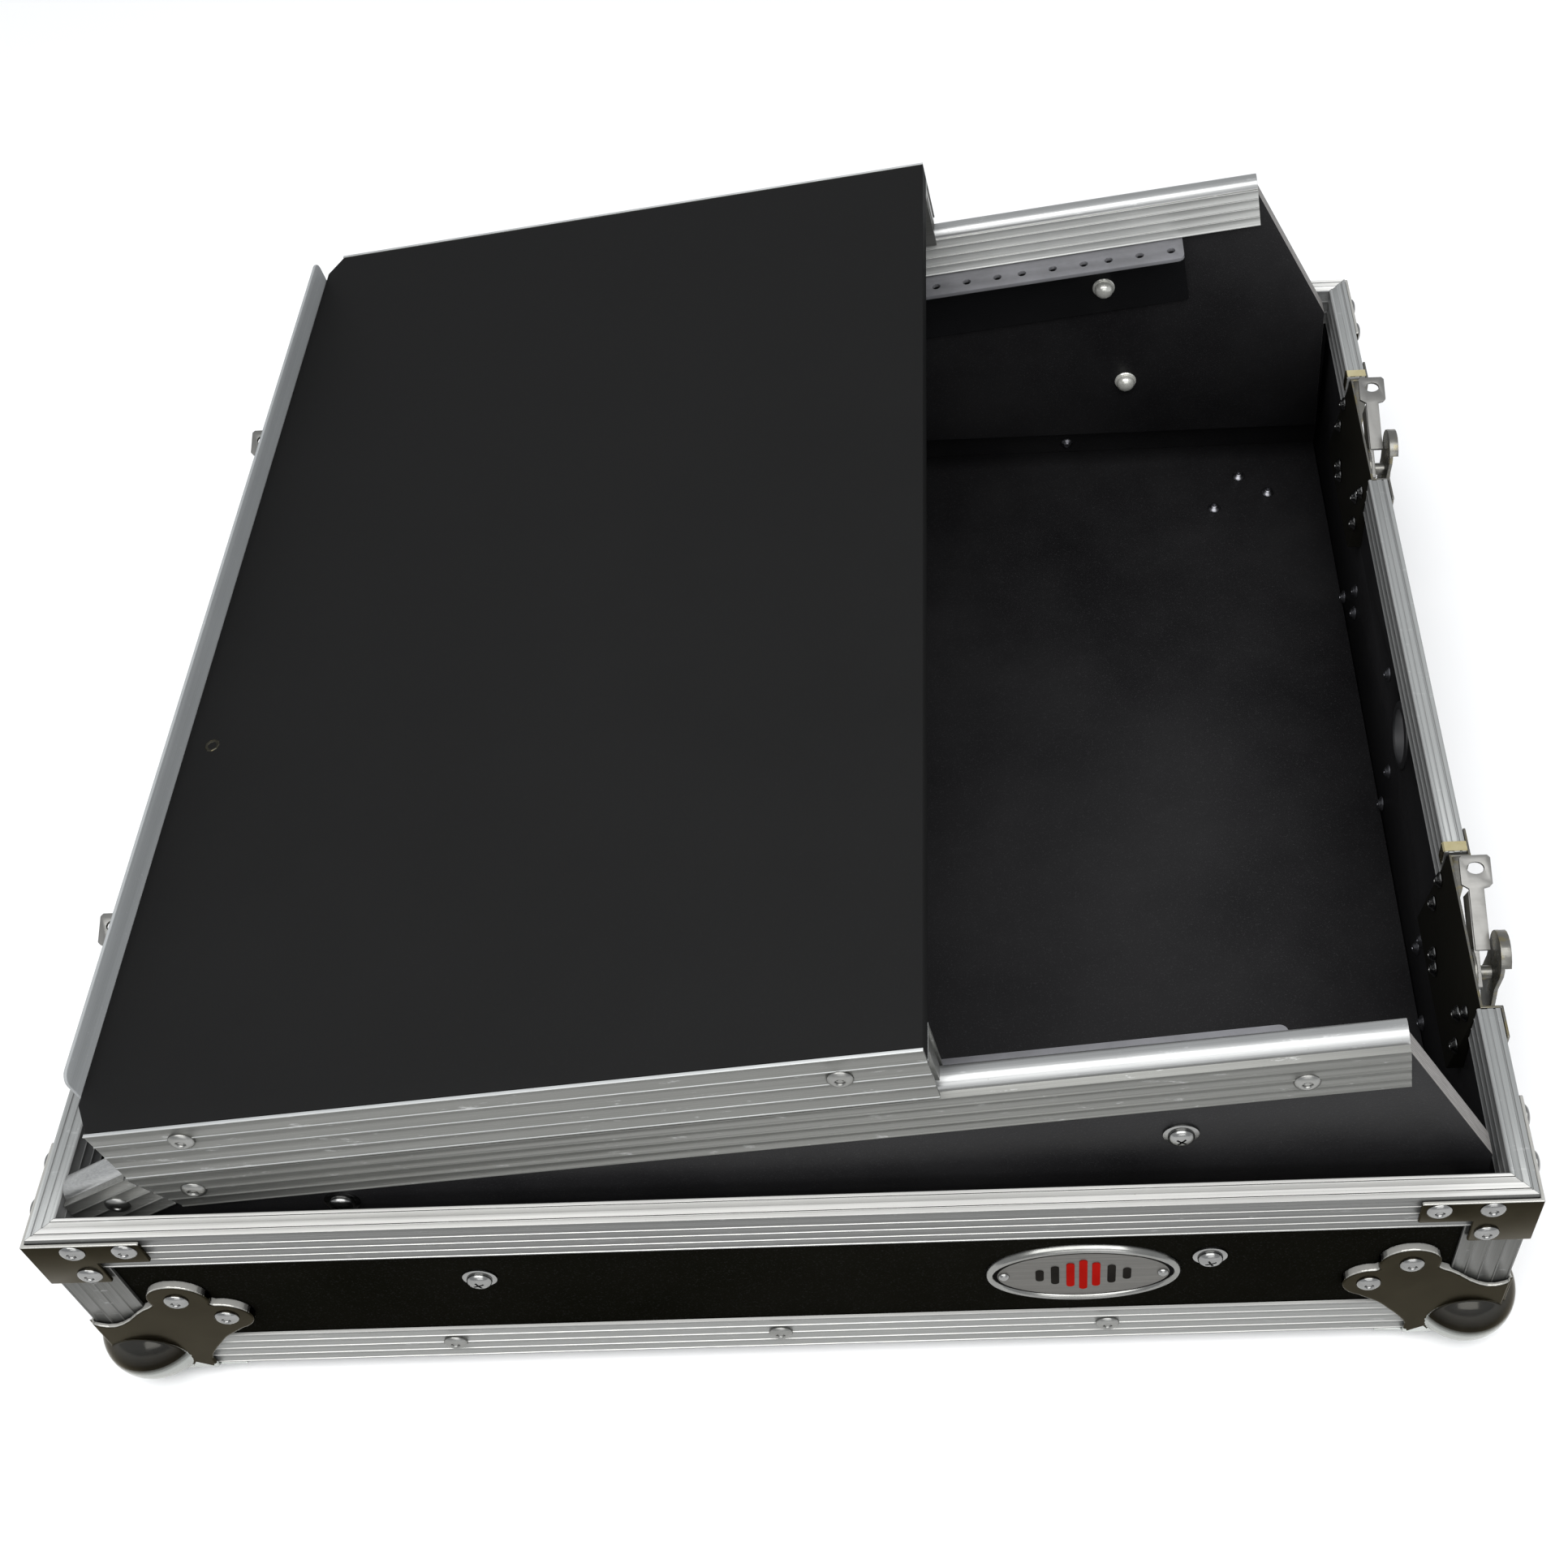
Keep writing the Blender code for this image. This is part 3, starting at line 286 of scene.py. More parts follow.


# The rim and bottom-edge bars are one anodised aluminium in lit and shaded copies: the bottom edges get a
# paler tone as painted light against the shade near the floor, the rim sides a darker one.
RIM_DARK, RIM_LIGHT = (0.092, 0.093, 0.090), (0.122, 0.123, 0.118)
EDGE_DARK, EDGE_LIGHT = (0.200, 0.203, 0.197), (0.265, 0.268, 0.258)
MATS = {
    "alu_x": drawn_aluminium("rim_side_x", "x", RIM_DARK, RIM_LIGHT, metallic=0.35, wear=0.2),
    "alu_y": drawn_aluminium("rim_side_y", "y", RIM_DARK, RIM_LIGHT, metallic=0.35, wear=0.2),
    # rim side facing into the tray: a lighter copy, painted light
    "rim_inner": drawn_aluminium("rim_inner_side", "y", (0.24, 0.243, 0.24), (0.32, 0.323, 0.32),
                                 metallic=0.3, wear=0.2),
    "edge_x": drawn_aluminium("bottom_edge_x", "x", EDGE_DARK, EDGE_LIGHT),
    "edge_y": drawn_aluminium("bottom_edge_y", "y", EDGE_DARK, EDGE_LIGHT),
    "alu_z": drawn_aluminium("corner_aluminium", "z", (0.080, 0.080, 0.075), (0.112, 0.112, 0.105)),
    # rim tops: paler copies with painted light, the X bars far paler than the Y bars by how the light falls
    # on each
    "top_x": drawn_aluminium("rim_top_x", "x", (0.62, 0.615, 0.59), (0.78, 0.775, 0.745),
                             metallic=0.25, wear=0.2),
    "top_y": drawn_aluminium("rim_top_y", "y", (0.235, 0.242, 0.240), (0.30, 0.308, 0.303),
                             metallic=0.25, wear=0.2),
    # channel top: a paler copy of the sloping aluminium, painted light on its upward faces
    "top_channel": drawn_aluminium("channel_top", "x", (0.36, 0.37, 0.37), (0.46, 0.47, 0.465),
                                   tilt=-SLOPE, metallic=0.25, wear=0.2),
    "alu_slope": drawn_aluminium("drawn_aluminium_slope", "x", (0.130, 0.131, 0.122),
                                 (0.180, 0.181, 0.170), tilt=-SLOPE, metallic=0.55),
    # rail sides facing the shelf: a paler copy, painted light
    "rail_inner": drawn_aluminium("rail_inner_side", "x", (0.40, 0.405, 0.39), (0.50, 0.505, 0.49),
                                  tilt=-SLOPE, metallic=0.25, wear=0.2),
    # rounded rail backs: a paler, more metallic copy carrying a painted highlight
    "bead": drawn_aluminium("bead_aluminium", "x", (0.33, 0.334, 0.33), (0.44, 0.444, 0.44),
                            tilt=-SLOPE, metallic=0.85, wear=0.5),
    "lip": drawn_aluminium("lip_aluminium", "y", (0.245, 0.254, 0.257), (0.285, 0.296, 0.299),
                           metallic=0.0, wear=0.1, shine=(0.55, 0.68)),
    "outside": black_laminate("outside_laminate", (0.0028, 0.0027, 0.0018), (0.0046, 0.0044, 0.0033),
                              0.4, 0.55, scuffs=0.1, specular=0.0, speckle=0.12),
    "cover": black_laminate("dish_cover_paint", (0.0062, 0.0058, 0.0044), (0.0092, 0.0088, 0.0070),
                            0.4, 0.55, scuffs=0.1, specular=0.04, speckle=0.1),
    "inside": black_laminate("inside_laminate", (0.0062, 0.0060, 0.0066), (0.0160, 0.0157, 0.0164),
                             0.36, 0.52, scuffs=0.2, specular=0.10, speckle=0.3),
    "shelf": black_laminate("shelf_laminate", (0.0102, 0.0102, 0.0102), (0.0114, 0.0114, 0.0114),
                            0.6, 0.7, grain=1100.0, scuffs=0.03, specular=0.02, speckle=0.03),
    # steel and ball: nickel with a painted highlight on upper faces and a painted floor reflection
    # underneath, widened on the ball
    "steel": nickel_with_painted_light("polished_steel", (0.0060, 0.0052, 0.0030), (0.0130, 0.0115, 0.0070)),
    "ball": nickel_with_painted_light("ball_steel", (0.0050, 0.0044, 0.0030), (0.0120, 0.0105, 0.0075),
                        top_highlight_mix=0.10, wide_floor_reflection=True),
    # pale steel that paints a highlight along the lower margin of the ball corners' plates
    "steel_painted_highlight": polished_metal("steel_painted_highlight", (0.50, 0.52, 0.50), (0.34, 0.35, 0.33), 0.18, 0.32,
                                 metallic=0.6),
    "rivet": polished_metal("rivet_metal", (0.27, 0.27, 0.265), (0.20, 0.20, 0.195), 0.16, 0.30),
    "alu_rivet": polished_metal("aluminium_rivet", (0.26, 0.26, 0.25), (0.20, 0.20, 0.19), 0.26, 0.42),
    "nut": polished_metal("nut_metal", (0.62, 0.62, 0.58), (0.50, 0.50, 0.46), 0.2, 0.32, metallic=0.5),
    "tail": polished_metal("rivet_tail", (0.26, 0.26, 0.28), (0.12, 0.12, 0.13), 0.25, 0.45),
    "screw": polished_metal("worn_screw", (0.06, 0.055, 0.04), (0.03, 0.03, 0.025), 0.3, 0.5,
                            tint=(0.40, 0.31, 0.10)),
    "zinc": polished_metal("zinc_plate", (0.165, 0.162, 0.150), (0.120, 0.117, 0.104), 0.20, 0.38,
                           tint=(0.20, 0.165, 0.07), metallic=0.80),
    "hook": polished_metal("hook_zinc", (0.180, 0.178, 0.170), (0.140, 0.138, 0.130), 0.28, 0.44,
                           metallic=0.7),
    # yellow zinc, made paler than the zinc's own tone: partly a painted glint on the rim clips
    "gold": polished_metal("yellow_zinc", (0.78, 0.70, 0.44), (0.62, 0.53, 0.28), 0.16, 0.30),
    "rack": polished_metal("rack_steel", (0.20, 0.20, 0.212), (0.155, 0.155, 0.163), 0.4, 0.55,
                           metallic=0.3),
    "rack_black": black_laminate("rack_black_paint", (0.007, 0.007, 0.0075), (0.011, 0.011, 0.012),
                                 0.3, 0.45, grain=1500.0, scuffs=0.1, specular=0.15, speckle=0.15),
    "ply": ply_layers("ply_edge"),
    "rubber": moulded_plastic("port_plastic", (0.010, 0.010, 0.011), (0.016, 0.016, 0.017)),
    "badge_ring": polished_metal("badge_chrome", (0.25, 0.25, 0.24), (0.18, 0.18, 0.17), 0.14, 0.28),
    "badge_line": moulded_plastic("badge_shadow_line", (0.005, 0.005, 0.005), (0.009, 0.009, 0.009),
                                  specular=0.0),
    "badge_face": drawn_aluminium("badge_brushed", "x", (0.066, 0.063, 0.057), (0.120, 0.116, 0.106),
                                  metallic=0.7, wear=0.05),
    "badge_red": moulded_plastic("badge_red_enamel", (0.23, 0.006, 0.004), (0.28, 0.008, 0.006),
                                 specular=0.0),
    "badge_dark": moulded_plastic("badge_dark_enamel", (0.010, 0.009, 0.008), (0.016, 0.015, 0.013),
                                  specular=0.0),
}


# ---------------------------------------------------------------- mesh helpers

def bake(obj):
    """Replace an object's mesh by what its modifiers make of it."""
    graph = bpy.context.evaluated_depsgraph_get()
    mesh = bpy.data.meshes.new_from_object(obj.evaluated_get(graph))
    old = obj.data
    obj.modifiers.clear()
    obj.data = mesh
    bpy.data.meshes.remove(old)


def smooth_by_angle(mesh, angle=35.0):
    mesh.shade_smooth()
    mesh.set_sharp_from_angle(angle=math.radians(angle))


def to_object(name, bm, mats, angle=35.0):
    bmesh.ops.recalc_face_normals(bm, faces=bm.faces)
    mesh = bpy.data.meshes.new(name)
    bm.to_mesh(mesh)
    bm.free()
    for mat in mats:
        mesh.materials.append(mat)
    smooth_by_angle(mesh, angle)
    obj = bpy.data.objects.new(name, mesh)
    bpy.context.scene.collection.objects.link(obj)
    return obj


def finish_piece(obj, body, slot, *replaced):
    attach(obj, body)
    if replaced:
        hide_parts(*replaced)
    return obj


def loft(bm, rings):
    """Closed body through rings of points that match one to one."""
    loops = [[bm.verts.new(p) for p in ring] for ring in rings]
    count = len(loops[0])
    for low, high in zip(loops, loops[1:]):
        for i in range(count):
            j = (i + 1) % count
            bm.faces.new((low[i], low[j], high[j], high[i]))
    bm.faces.new(loops[0][::-1])
    bm.faces.new(loops[-1])


def lathe_mesh(name, profile, segments=24):
    """Turned mesh about +Z from (radius, height) pairs in millimetres; radius 0 makes a pole."""
    bm = bmesh.new()
    rows = []
    for radius, height in profile:
        if radius == 0:
            rows.append([bm.verts.new((0, 0, height * MM))])
            continue
        rows.append([bm.verts.new((radius * MM * math.cos(2 * math.pi * i / segments),
                                   radius * MM * math.sin(2 * math.pi * i / segments), height * MM))
                     for i in range(segments)])
    for low, high in zip(rows, rows[1:]):
        for i in range(segments):
            j = (i + 1) % segments
            corners = [low[i % len(low)], low[j % len(low)], high[j % len(high)], high[i % len(high)]]
            unique = list(dict.fromkeys(corners))
            if len(unique) > 2:
                bm.faces.new(unique)
    bmesh.ops.recalc_face_normals(bm, faces=bm.faces)
    mesh = bpy.data.meshes.new(name)
    bm.to_mesh(mesh)
    bm.free()
    return mesh


def boolean(obj, bm, operation):
    """Cut, join or clip an object with the shape in bm."""
    tool = to_object("tool", bm, [])
    modifier = obj.modifiers.new("tool", "BOOLEAN")
    modifier.operation = operation
    modifier.solver = "EXACT"
    modifier.object = tool
    bake(obj)
    bpy.data.objects.remove(tool)


def stamp(bm, mesh, matrix):
    """Add a copy of a mesh to bm, placed by matrix."""
    copy = mesh.copy()
    copy.transform(matrix)
    if matrix.to_3x3().determinant() < 0:
        copy.flip_normals()
    bm.from_mesh(copy)
    bpy.data.meshes.remove(copy)


def facing(point, normal, spin=0.0):
    """Matrix that puts a fitting made along +Z on a surface."""
    turn = Vector((0, 0, 1)).rotation_difference(Vector(normal)).to_matrix().to_4x4()
    return Matrix.Translation(point) @ turn @ Matrix.Rotation(spin, 4, "Z")


def arc(centre, radius, start, end, steps):
    return [(centre[0] + radius * math.cos(math.radians(start + (end - start) * i / steps)),
             centre[1] + radius * math.sin(math.radians(start + (end - start) * i / steps)))
            for i in range(steps + 1)]


def soften(node, mats, slot, width=0.25, segments=2, angle=25.0, edge=None, reach=None):
    """Stand-in for a CAD node with its sharp edges eased; width in millimetres.

    `reach` moves the points of the new mesh before that, to close a joint between two bars.
    `edge` gives the material number of a face from its normal and centre.
    """
    bm = bmesh.new()
    bm.from_mesh(NODES[node].data)
    if reach is not None:
        for vert in bm.verts:
            vert.co = reach(vert.co)
    bmesh.ops.remove_doubles(bm, verts=bm.verts, dist=1e-6)
    bmesh.ops.dissolve_limit(bm, angle_limit=math.radians(1.0), verts=bm.verts, edges=bm.edges)
    obj = to_object(f"{node}_shown", bm, mats)
    bevel = obj.modifiers.new("ease", "BEVEL")
    bevel.width = width * MM
    bevel.segments = segments
    bevel.limit_method = "ANGLE"
    bevel.angle_limit = math.radians(angle)
    bevel.use_clamp_overlap = True
    obj.modifiers.new("even", "WEIGHTED_NORMAL").keep_sharp = True
    bake(obj)
    smooth_by_angle(obj.data, 50.0)
    if edge is not None:
        for face in obj.data.polygons:
            face.material_index = int(edge(face.normal, face.center))
    return finish_piece(obj, NODES[node]["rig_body"], slot, node)


# ---------------------------------------------------------------- frames of reference

NORMALS = {"rear": (1, 0, 0), "front": (-1, 0, 0), "left": (0, 1, 0), "right": (0, -1, 0)}


def wall_point(wall, n, s, z):
    """Point n mm inward of a wall's outer face, s mm along it, z mm over the tray's underside."""
    n, s, z = n * MM, s * MM, z * MM + BALL_DROP
    if wall == "rear":
        return Vector((HALF_LENGTH - n, s, z))
    if wall == "front":
        return Vector((-HALF_LENGTH + n, s, z))
    if wall == "left":
        return Vector((s, HALF_WIDTH - n, z))
    return Vector((s, -HALF_WIDTH + n, z))


def side_point(side, y, x, z):
    """Point y mm out from the middle plane, on the left (1) or the right (-1)."""
    return Vector((x * MM, side * y * MM, z * MM + BALL_DROP))


# ---------------------------------------------------------------- carried-over extrusions and panels

def faces_up(normal, centre):
    return normal.z > 0.75


def tray_edge_part(normal, centre):
    """1 on a bar's top, 2 on the side that faces into the tray, 0 elsewhere."""
    if faces_up(normal, centre):
        return 1
    return 2 if normal.x * centre.x + normal.y * centre.y < -0.15 else 0


def slope_height(point):
    """Height of a point above the plane that has the rails' slope and meets the tray's underside."""
    return -point.x * SIN + (point.z - BALL_DROP) * COS


def rail_part(normal, centre):
    """1 on a rail's rounded back, 2 on the side that faces the shelf, 0 elsewhere."""
    height = slope_height(centre)
    if height > BEAD_LEVEL and normal.z > 0.05:
        return 1
    return 2 if normal.y * centre.y < 0 and abs(normal.y) > 0.6 else 0


def on_front_bead(normal, centre):
    """Faces of the rounded back of a short front rail."""
    return FRONT_BEAD[0] < abs(centre.y) < FRONT_BEAD[1] and normal.z > 0.05


def close_mitre(axis):
    """Stretch of a bar's mitred ends that leaves only a hairline between it and its neighbour."""
    half = HALF_LENGTH if axis == 0 else HALF_WIDTH

    def move(point):
        point = point.copy()
        if abs(point[axis]) > half - 0.030:
            point[axis] += math.copysign(0.26 * MM, point[axis])
        return point
    return move


def dress_extrusions():
    for name in NODES:
        if name.startswith(("rim_", "bottom_edge_")):
            axis = "y" if "front" in name or "rear" in name else "x"
            side = "alu" if name.startswith("rim_") else "edge"
            # tops and tray-facing sides take the painted-light copies of the aluminium
            mats = [MATS[f"{side}_{axis}"], MATS[f"top_{axis}"], MATS["rim_inner"]]
            soften(name, mats, "aluminium", 0.10, edge=tray_edge_part,
                   reach=close_mitre(1 if axis == "y" else 0))
        elif name.startswith("corner_angle_"):
            soften(name, [MATS["alu_z"]], "aluminium", 0.10)
        elif name.startswith("shelf_channel_"):
            # channel tops, rail backs and the rails' shelf-facing sides take the painted-light copies
            soften(name, [MATS["alu_slope"], MATS["top_channel"]], "aluminium", 0.10, edge=faces_up)
        elif name.startswith("slide_rail_"):
            soften(name, [MATS["alu_slope"], MATS["bead"], MATS["rail_inner"]], "aluminium", 0.10,
                   edge=rail_part)
        elif name.startswith("front_rail_"):
            soften(name, [MATS["alu_slope"], MATS["bead"]], "aluminium", 0.10, edge=on_front_bead)


def dress_panels():
    for wall in ("front", "rear"):
        sign = 1 if wall == "rear" else -1
        soften(f"wall_{wall}", [MATS["outside"], MATS["inside"]], "laminate", 0.2,
               edge=lambda n, c, k=sign: n.x * k < 0.5)
    for wall, sign in SIDES:
        soften(f"wall_{wall}", [MATS["outside"], MATS["inside"]], "laminate", 0.2,
               edge=lambda n, c, k=sign: n.y * k < 0.5)
        soften(f"rack_panel_{wall}", [MATS["inside"], MATS["ply"]], "laminate", 0.3,
               edge=lambda n, c: abs(n.y) < 0.6)
        soften(f"panel_batten_{wall}", [MATS["ply"]], "laminate", 0.4)
        soften(f"rack_rail_{wall}", [MATS["rack_black"], MATS["rack"]], "rack_steel", 0.2, edge=rack_flange)
    soften("floor_panel", [MATS["inside"], MATS["outside"]], "laminate", 0.2, edge=lambda n, c: n.z < -0.5)
    soften("shelf_board", [MATS["shelf"]], "shelf_black", 0.5)
    soften("shelf_lip", [MATS["lip"]], "lip_grey", 0.3)


def rack_flange(normal, centre):
    """Faces of a rack rail's bare flange, the part of its section nearest the middle of the case."""
    height = slope_height(centre)
    return height > FLANGE_LEVEL and abs(centre.y) < FLANGE_EDGE


# ---------------------------------------------------------------- rivets and bolts

RIVET = lathe_mesh("rivet_template", [(0, -0.3), (4.75, -0.3), (4.85, 0.25), (4.7, 0.65), (4.15, 1.15),
                                      (3.3, 1.6), (2.5, 1.85), (2.1, 1.8), (1.75, 1.45), (1.6, 0.95),
                                      (1.2, 0.9), (1.1, 1.25), (0.7, 1.4), (0, 1.42)], 32)
TAIL = lathe_mesh("tail_template", [(0, -0.2), (3.3, -0.2), (3.6, 0.3), (3.2, 1.0), (2.3, 1.5), (2.0, 2.2),
                                    (1.4, 2.6), (0.9, 2.5), (0.8, 1.9), (0, 1.8)], 14)
WASHER = lathe_mesh("washer_template", [(0, -0.1), (6.7, -0.1), (6.8, 0.3), (6.7, 0.9), (6.4, 1.05),
                                        (0, 1.05)], 36)


def bolt_head():
    """Pan head with a cross recess."""
    head = lathe_mesh("pan_head", [(0, 0.9), (4.9, 0.9), (5.0, 1.6), (4.8, 2.4), (4.2, 3.2), (3.2, 3.75),
                                   (1.8, 4.05), (0, 4.1)], 32)
    bm = bmesh.new()
    bm.from_mesh(head)
    obj = to_object("pan_head_solid", bm, [])
    for turn in (0.0, math.pi / 2):
        slot = bmesh.new()
        size = Matrix.Diagonal((4.6 * MM, 0.9 * MM, 3 * MM, 1))
        place = Matrix.Translation((0, 0, 4.2 * MM)) @ Matrix.Rotation(turn, 4, "Z")
        bmesh.ops.create_cube(slot, size=1.0, matrix=place @ size)
        boolean(obj, slot, "DIFFERENCE")
    mesh = obj.data
    bpy.data.objects.remove(obj)
    return mesh


NUT = lathe_mesh("nut_template", [(0, -0.1), (5.7, -0.1), (5.8, 0.5), (5.4, 1.0), (4.7, 1.1), (4.8, 2.4),
                                  (4.4, 3.6), (3.6, 4.6), (2.5, 5.3), (1.2, 5.7), (0, 5.8)], 24)


def build_rivets():
    brace, plates, edges = bmesh.new(), bmesh.new(), bmesh.new()
    for wall, normal in NORMALS.items():
        half = (HALF_WIDTH if wall in ("front", "rear") else HALF_LENGTH) / MM
        for sign in (-1, 1):
            for inset, z in ((16.5, 108.0), (36.2, 108.0), (16.0, 89.0)):
                stamp(brace, RIVET, facing(wall_point(wall, -1.7, sign * (half - inset), z), normal))
            for inset, z in ((40.5, 64.0), (55.4, 48.3)):
                stamp(plates, RIVET, facing(wall_point(wall, -1.9, sign * (half - inset), z), normal))
        for s in (-142.8, -8.9, 124.4):
            stamp(edges, RIVET, facing(wall_point(wall, 0.0, s, 14.0), normal))
    finish_piece(to_object("rivets_corner_braces", brace, [MATS["rivet"]], 50), "case", "polished_steel")
    finish_piece(to_object("rivets_ball_corners", plates, [MATS["rivet"]], 50), "case", "polished_steel")
    finish_piece(to_object("rivets_bottom_edges", edges, [MATS["alu_rivet"]], 50), "case", "aluminium")


def build_rail_rivets():
    rails, shelf = bmesh.new(), bmesh.new()
    for _, side in SIDES:
        normal = (0, side, 0)
        for x, z in ((192.8, 175.0), (-217.8, 122.6), (-250.5, 112.5)):
            stamp(rails, RIVET, facing(side_point(side, 254.4, x, z), normal))
        for x, z in ((-208.0, 162.8), (31.0, 190.9)):
            stamp(shelf, RIVET, facing(side_point(side, 256.5, x, z), normal))
    finish_piece(to_object("rivets_slide_rails", rails, [MATS["alu_rivet"]], 50), "case", "aluminium")
    finish_piece(to_object("rivets_shelf_channels", shelf, [MATS["alu_rivet"]], 50), "shelf", "aluminium")


def build_tails():
    bm = bmesh.new()
    for sx in (-1, 1):
        for sy in (-1, 1):
            for x, y in ((228, 235), (243, 221), (212, 210)):
                stamp(bm, TAIL, facing(Vector((sx * x * MM, sy * y * MM, 7.9 * MM + BALL_DROP)), (0, 0, 1)))
    for wall, normal in NORMALS.items():
        inward = [-c for c in normal]
        for s in (-133.0, -8.0, 132.0):
            stamp(bm, TAIL, facing(wall_point(wall, 7.9, s, 14.0), inward))
        if wall in ("front", "rear"):
            for s, z in ((104, 31), (108, 43), (-104, 31), (-108, 43), (21, 76), (-9, 40)):
                stamp(bm, TAIL, facing(wall_point(wall, 7.9, s, z), inward))
    finish_piece(to_object("rivet_tails", bm, [MATS["tail"]], 50), "case", "polished_steel")


def build_bolts():
    head = bolt_head()
    bm, nuts = bmesh.new(), bmesh.new()
    for _, side in SIDES:
        out, inward = (0, side, 0), (0, -side, 0)
        for x in (-120.0, 163.2):
            spot = facing(side_point(side, 268.4, x, 70.5), out, 0.4)
            stamp(bm, WASHER, spot)
            stamp(bm, head, spot)
            stamp(nuts, NUT, facing(side_point(side, 243.2, x, 74.0), inward))
        for x, z in ((150.5, 138.5), (-166.4, 107.0)):
            spot = facing(side_point(side, 252.8, x, z), out, 0.9)
            stamp(bm, WASHER, spot)
            stamp(bm, head, spot)
            stamp(nuts, NUT, facing(side_point(side, 240.7, x, z), inward, 0.3))
    finish_piece(to_object("bolts", bm, [MATS["rivet"]], 40), "case", "polished_steel")
    finish_piece(to_object("bolt_nuts", nuts, [MATS["nut"]], 40), "case", "polished_steel")


# ---------------------------------------------------------------- ball corners

def lobed_outline():
    """Face plate, first number along the lower edge and second up the corner, in millimetres."""
    lower = [(-0.2, -0.2), (36.5, -0.2), (36.2, 4.5), (36.4, 8.4), (37.4, 11.5), (39.0, 14.5), (41.8, 19.0),
             (45.0, 23.5), (47.6, 27.3), (50.4, 30.6), (54.0, 33.6)]
    side_lobe = arc((54.5, 48.0), 11.2, -68.0, 95.0, 16)
    upper_lobe = arc((41.0, 64.0), 12.0, -18.0, 197.0, 20)
    back = [(27.2, 58.3), (24.5, 56.6), (20.6, 53.0), (15.8, 47.6), (11.5, 44.0), (8.2, 42.3), (5.0, 42.0),
            (2.2, 43.2), (0.6, 44.6), (-0.2, 46.0)]
    return lower + side_lobe + upper_lobe + back


def bottom_outline():
    """Plate under the floor, in millimetres inward of the two walls."""
    return [(-0.2, -0.2), (47.5, -0.2)] + arc((20.0, 20.0), 30.0, -25.0, 115.0, 14) + [(-0.2, 47.5)]


def corner_prism(bm, outline, low, high, axis):
    """Plate of an outline between two distances along axis a, b or c of the corner."""
    rings = []
    for offset in (low, high):
        rings.append([{"a": (offset, p, q), "b": (p, offset, q), "c": (p, q, offset)}[axis]
                      for p, q in outline])
    loft(bm, [[Vector(v) * MM for v in ring] for ring in rings])


def cube_between(low, high):
    bm = bmesh.new()
    ring = [(low[0], low[1]), (high[0], low[1]), (high[0], high[1]), (low[0], high[1])]
    loft(bm, [[Vector((x, y, z)) * MM for x, y in ring] for z in (low[2], high[2])])
    return bm


def ball_corner_mesh():
    """Pressed ball corner in its own frame: distances inward of the three faces it wraps."""
    bm = bmesh.new()
    centre = Matrix.Translation((BALL_INSET * MM, BALL_INSET * MM, BALL_HEIGHT * MM))
    bmesh.ops.create_uvsphere(bm, u_segments=64, v_segments=40, radius=BALL_RADIUS * MM, matrix=centre)
    obj = to_object("ball_corner_solid", bm, [])
    for axis, outline in (("a", lobed_outline()), ("b", lobed_outline()), ("c", bottom_outline())):
        plate = bmesh.new()
        corner_prism(plate, outline, -0.15, -1.9, axis)
        boolean(obj, plate, "UNION")
    boolean(obj, cube_between((-0.15, -0.15, -0.15), (120, 120, 120)), "DIFFERENCE")
    for axis in ("a", "b"):
        skirt = bmesh.new()
        corner_prism(skirt, lobed_outline(), -1.0, 1.4, axis)
        skirt_obj = to_object("skirt", skirt, [])
        low = (-9, 24.4, 26.7) if axis == "a" else (24.4, -9, 26.7)
        boolean(skirt_obj, cube_between(low, (120, 120, 120)), "INTERSECT")
        bm = bmesh.new()
        bm.from_mesh(skirt_obj.data)
        bpy.data.objects.remove(skirt_obj)
        boolean(obj, bm, "UNION")
    remesh = obj.modifiers.new("cells", "REMESH")
    remesh.mode = "VOXEL"
    remesh.voxel_size = 0.42 * MM
    even = obj.modifiers.new("even", "SMOOTH")
    even.factor = 0.5
    even.iterations = 5
    thin = obj.modifiers.new("thin", "DECIMATE")
    thin.ratio = 0.22
    bake(obj)
    mesh = obj.data
    bpy.data.objects.remove(obj)
    return mesh


def build_ball_corners():
    mesh = ball_corner_mesh()
    for x_name, sx in (("front", -1), ("rear", 1)):
        for y_name, sy in SIDES:
            bm = bmesh.new()
            stamp(bm, mesh, Matrix.Translation((sx * HALF_LENGTH, sy * HALF_WIDTH, BALL_DROP))
                  @ Matrix.Diagonal((-sx, -sy, 1, 1)))
            node = f"ball_corner_{x_name}_{y_name}"
            obj = to_object(f"{node}_shown", bm, [MATS["steel"], MATS["ball"], MATS["steel_painted_highlight"]], 60)
            middle = Vector((sx * (HALF_LENGTH - BALL_INSET * MM), sy * (HALF_WIDTH - BALL_INSET * MM),
                             BALL_HEIGHT * MM + BALL_DROP))
            for face in obj.data.polygons:
                if (face.center - middle).length < (BALL_RADIUS + BALL_SKIN) * MM:
                    face.material_index = 1
                # faces along the plates' lower margin take the painted highlight
                elif face.center.z < BALL_DROP + PAINTED_HIGHLIGHT_HEIGHT * MM:
                    face.material_index = 2
            finish_piece(obj, "case", "polished_steel", node)


def dress_braces():
    for name in NODES:
        if name.startswith("corner_brace_"):
            soften(name, [MATS["steel"]], "polished_steel", 0.55, 4)


# ---------------------------------------------------------------- latches

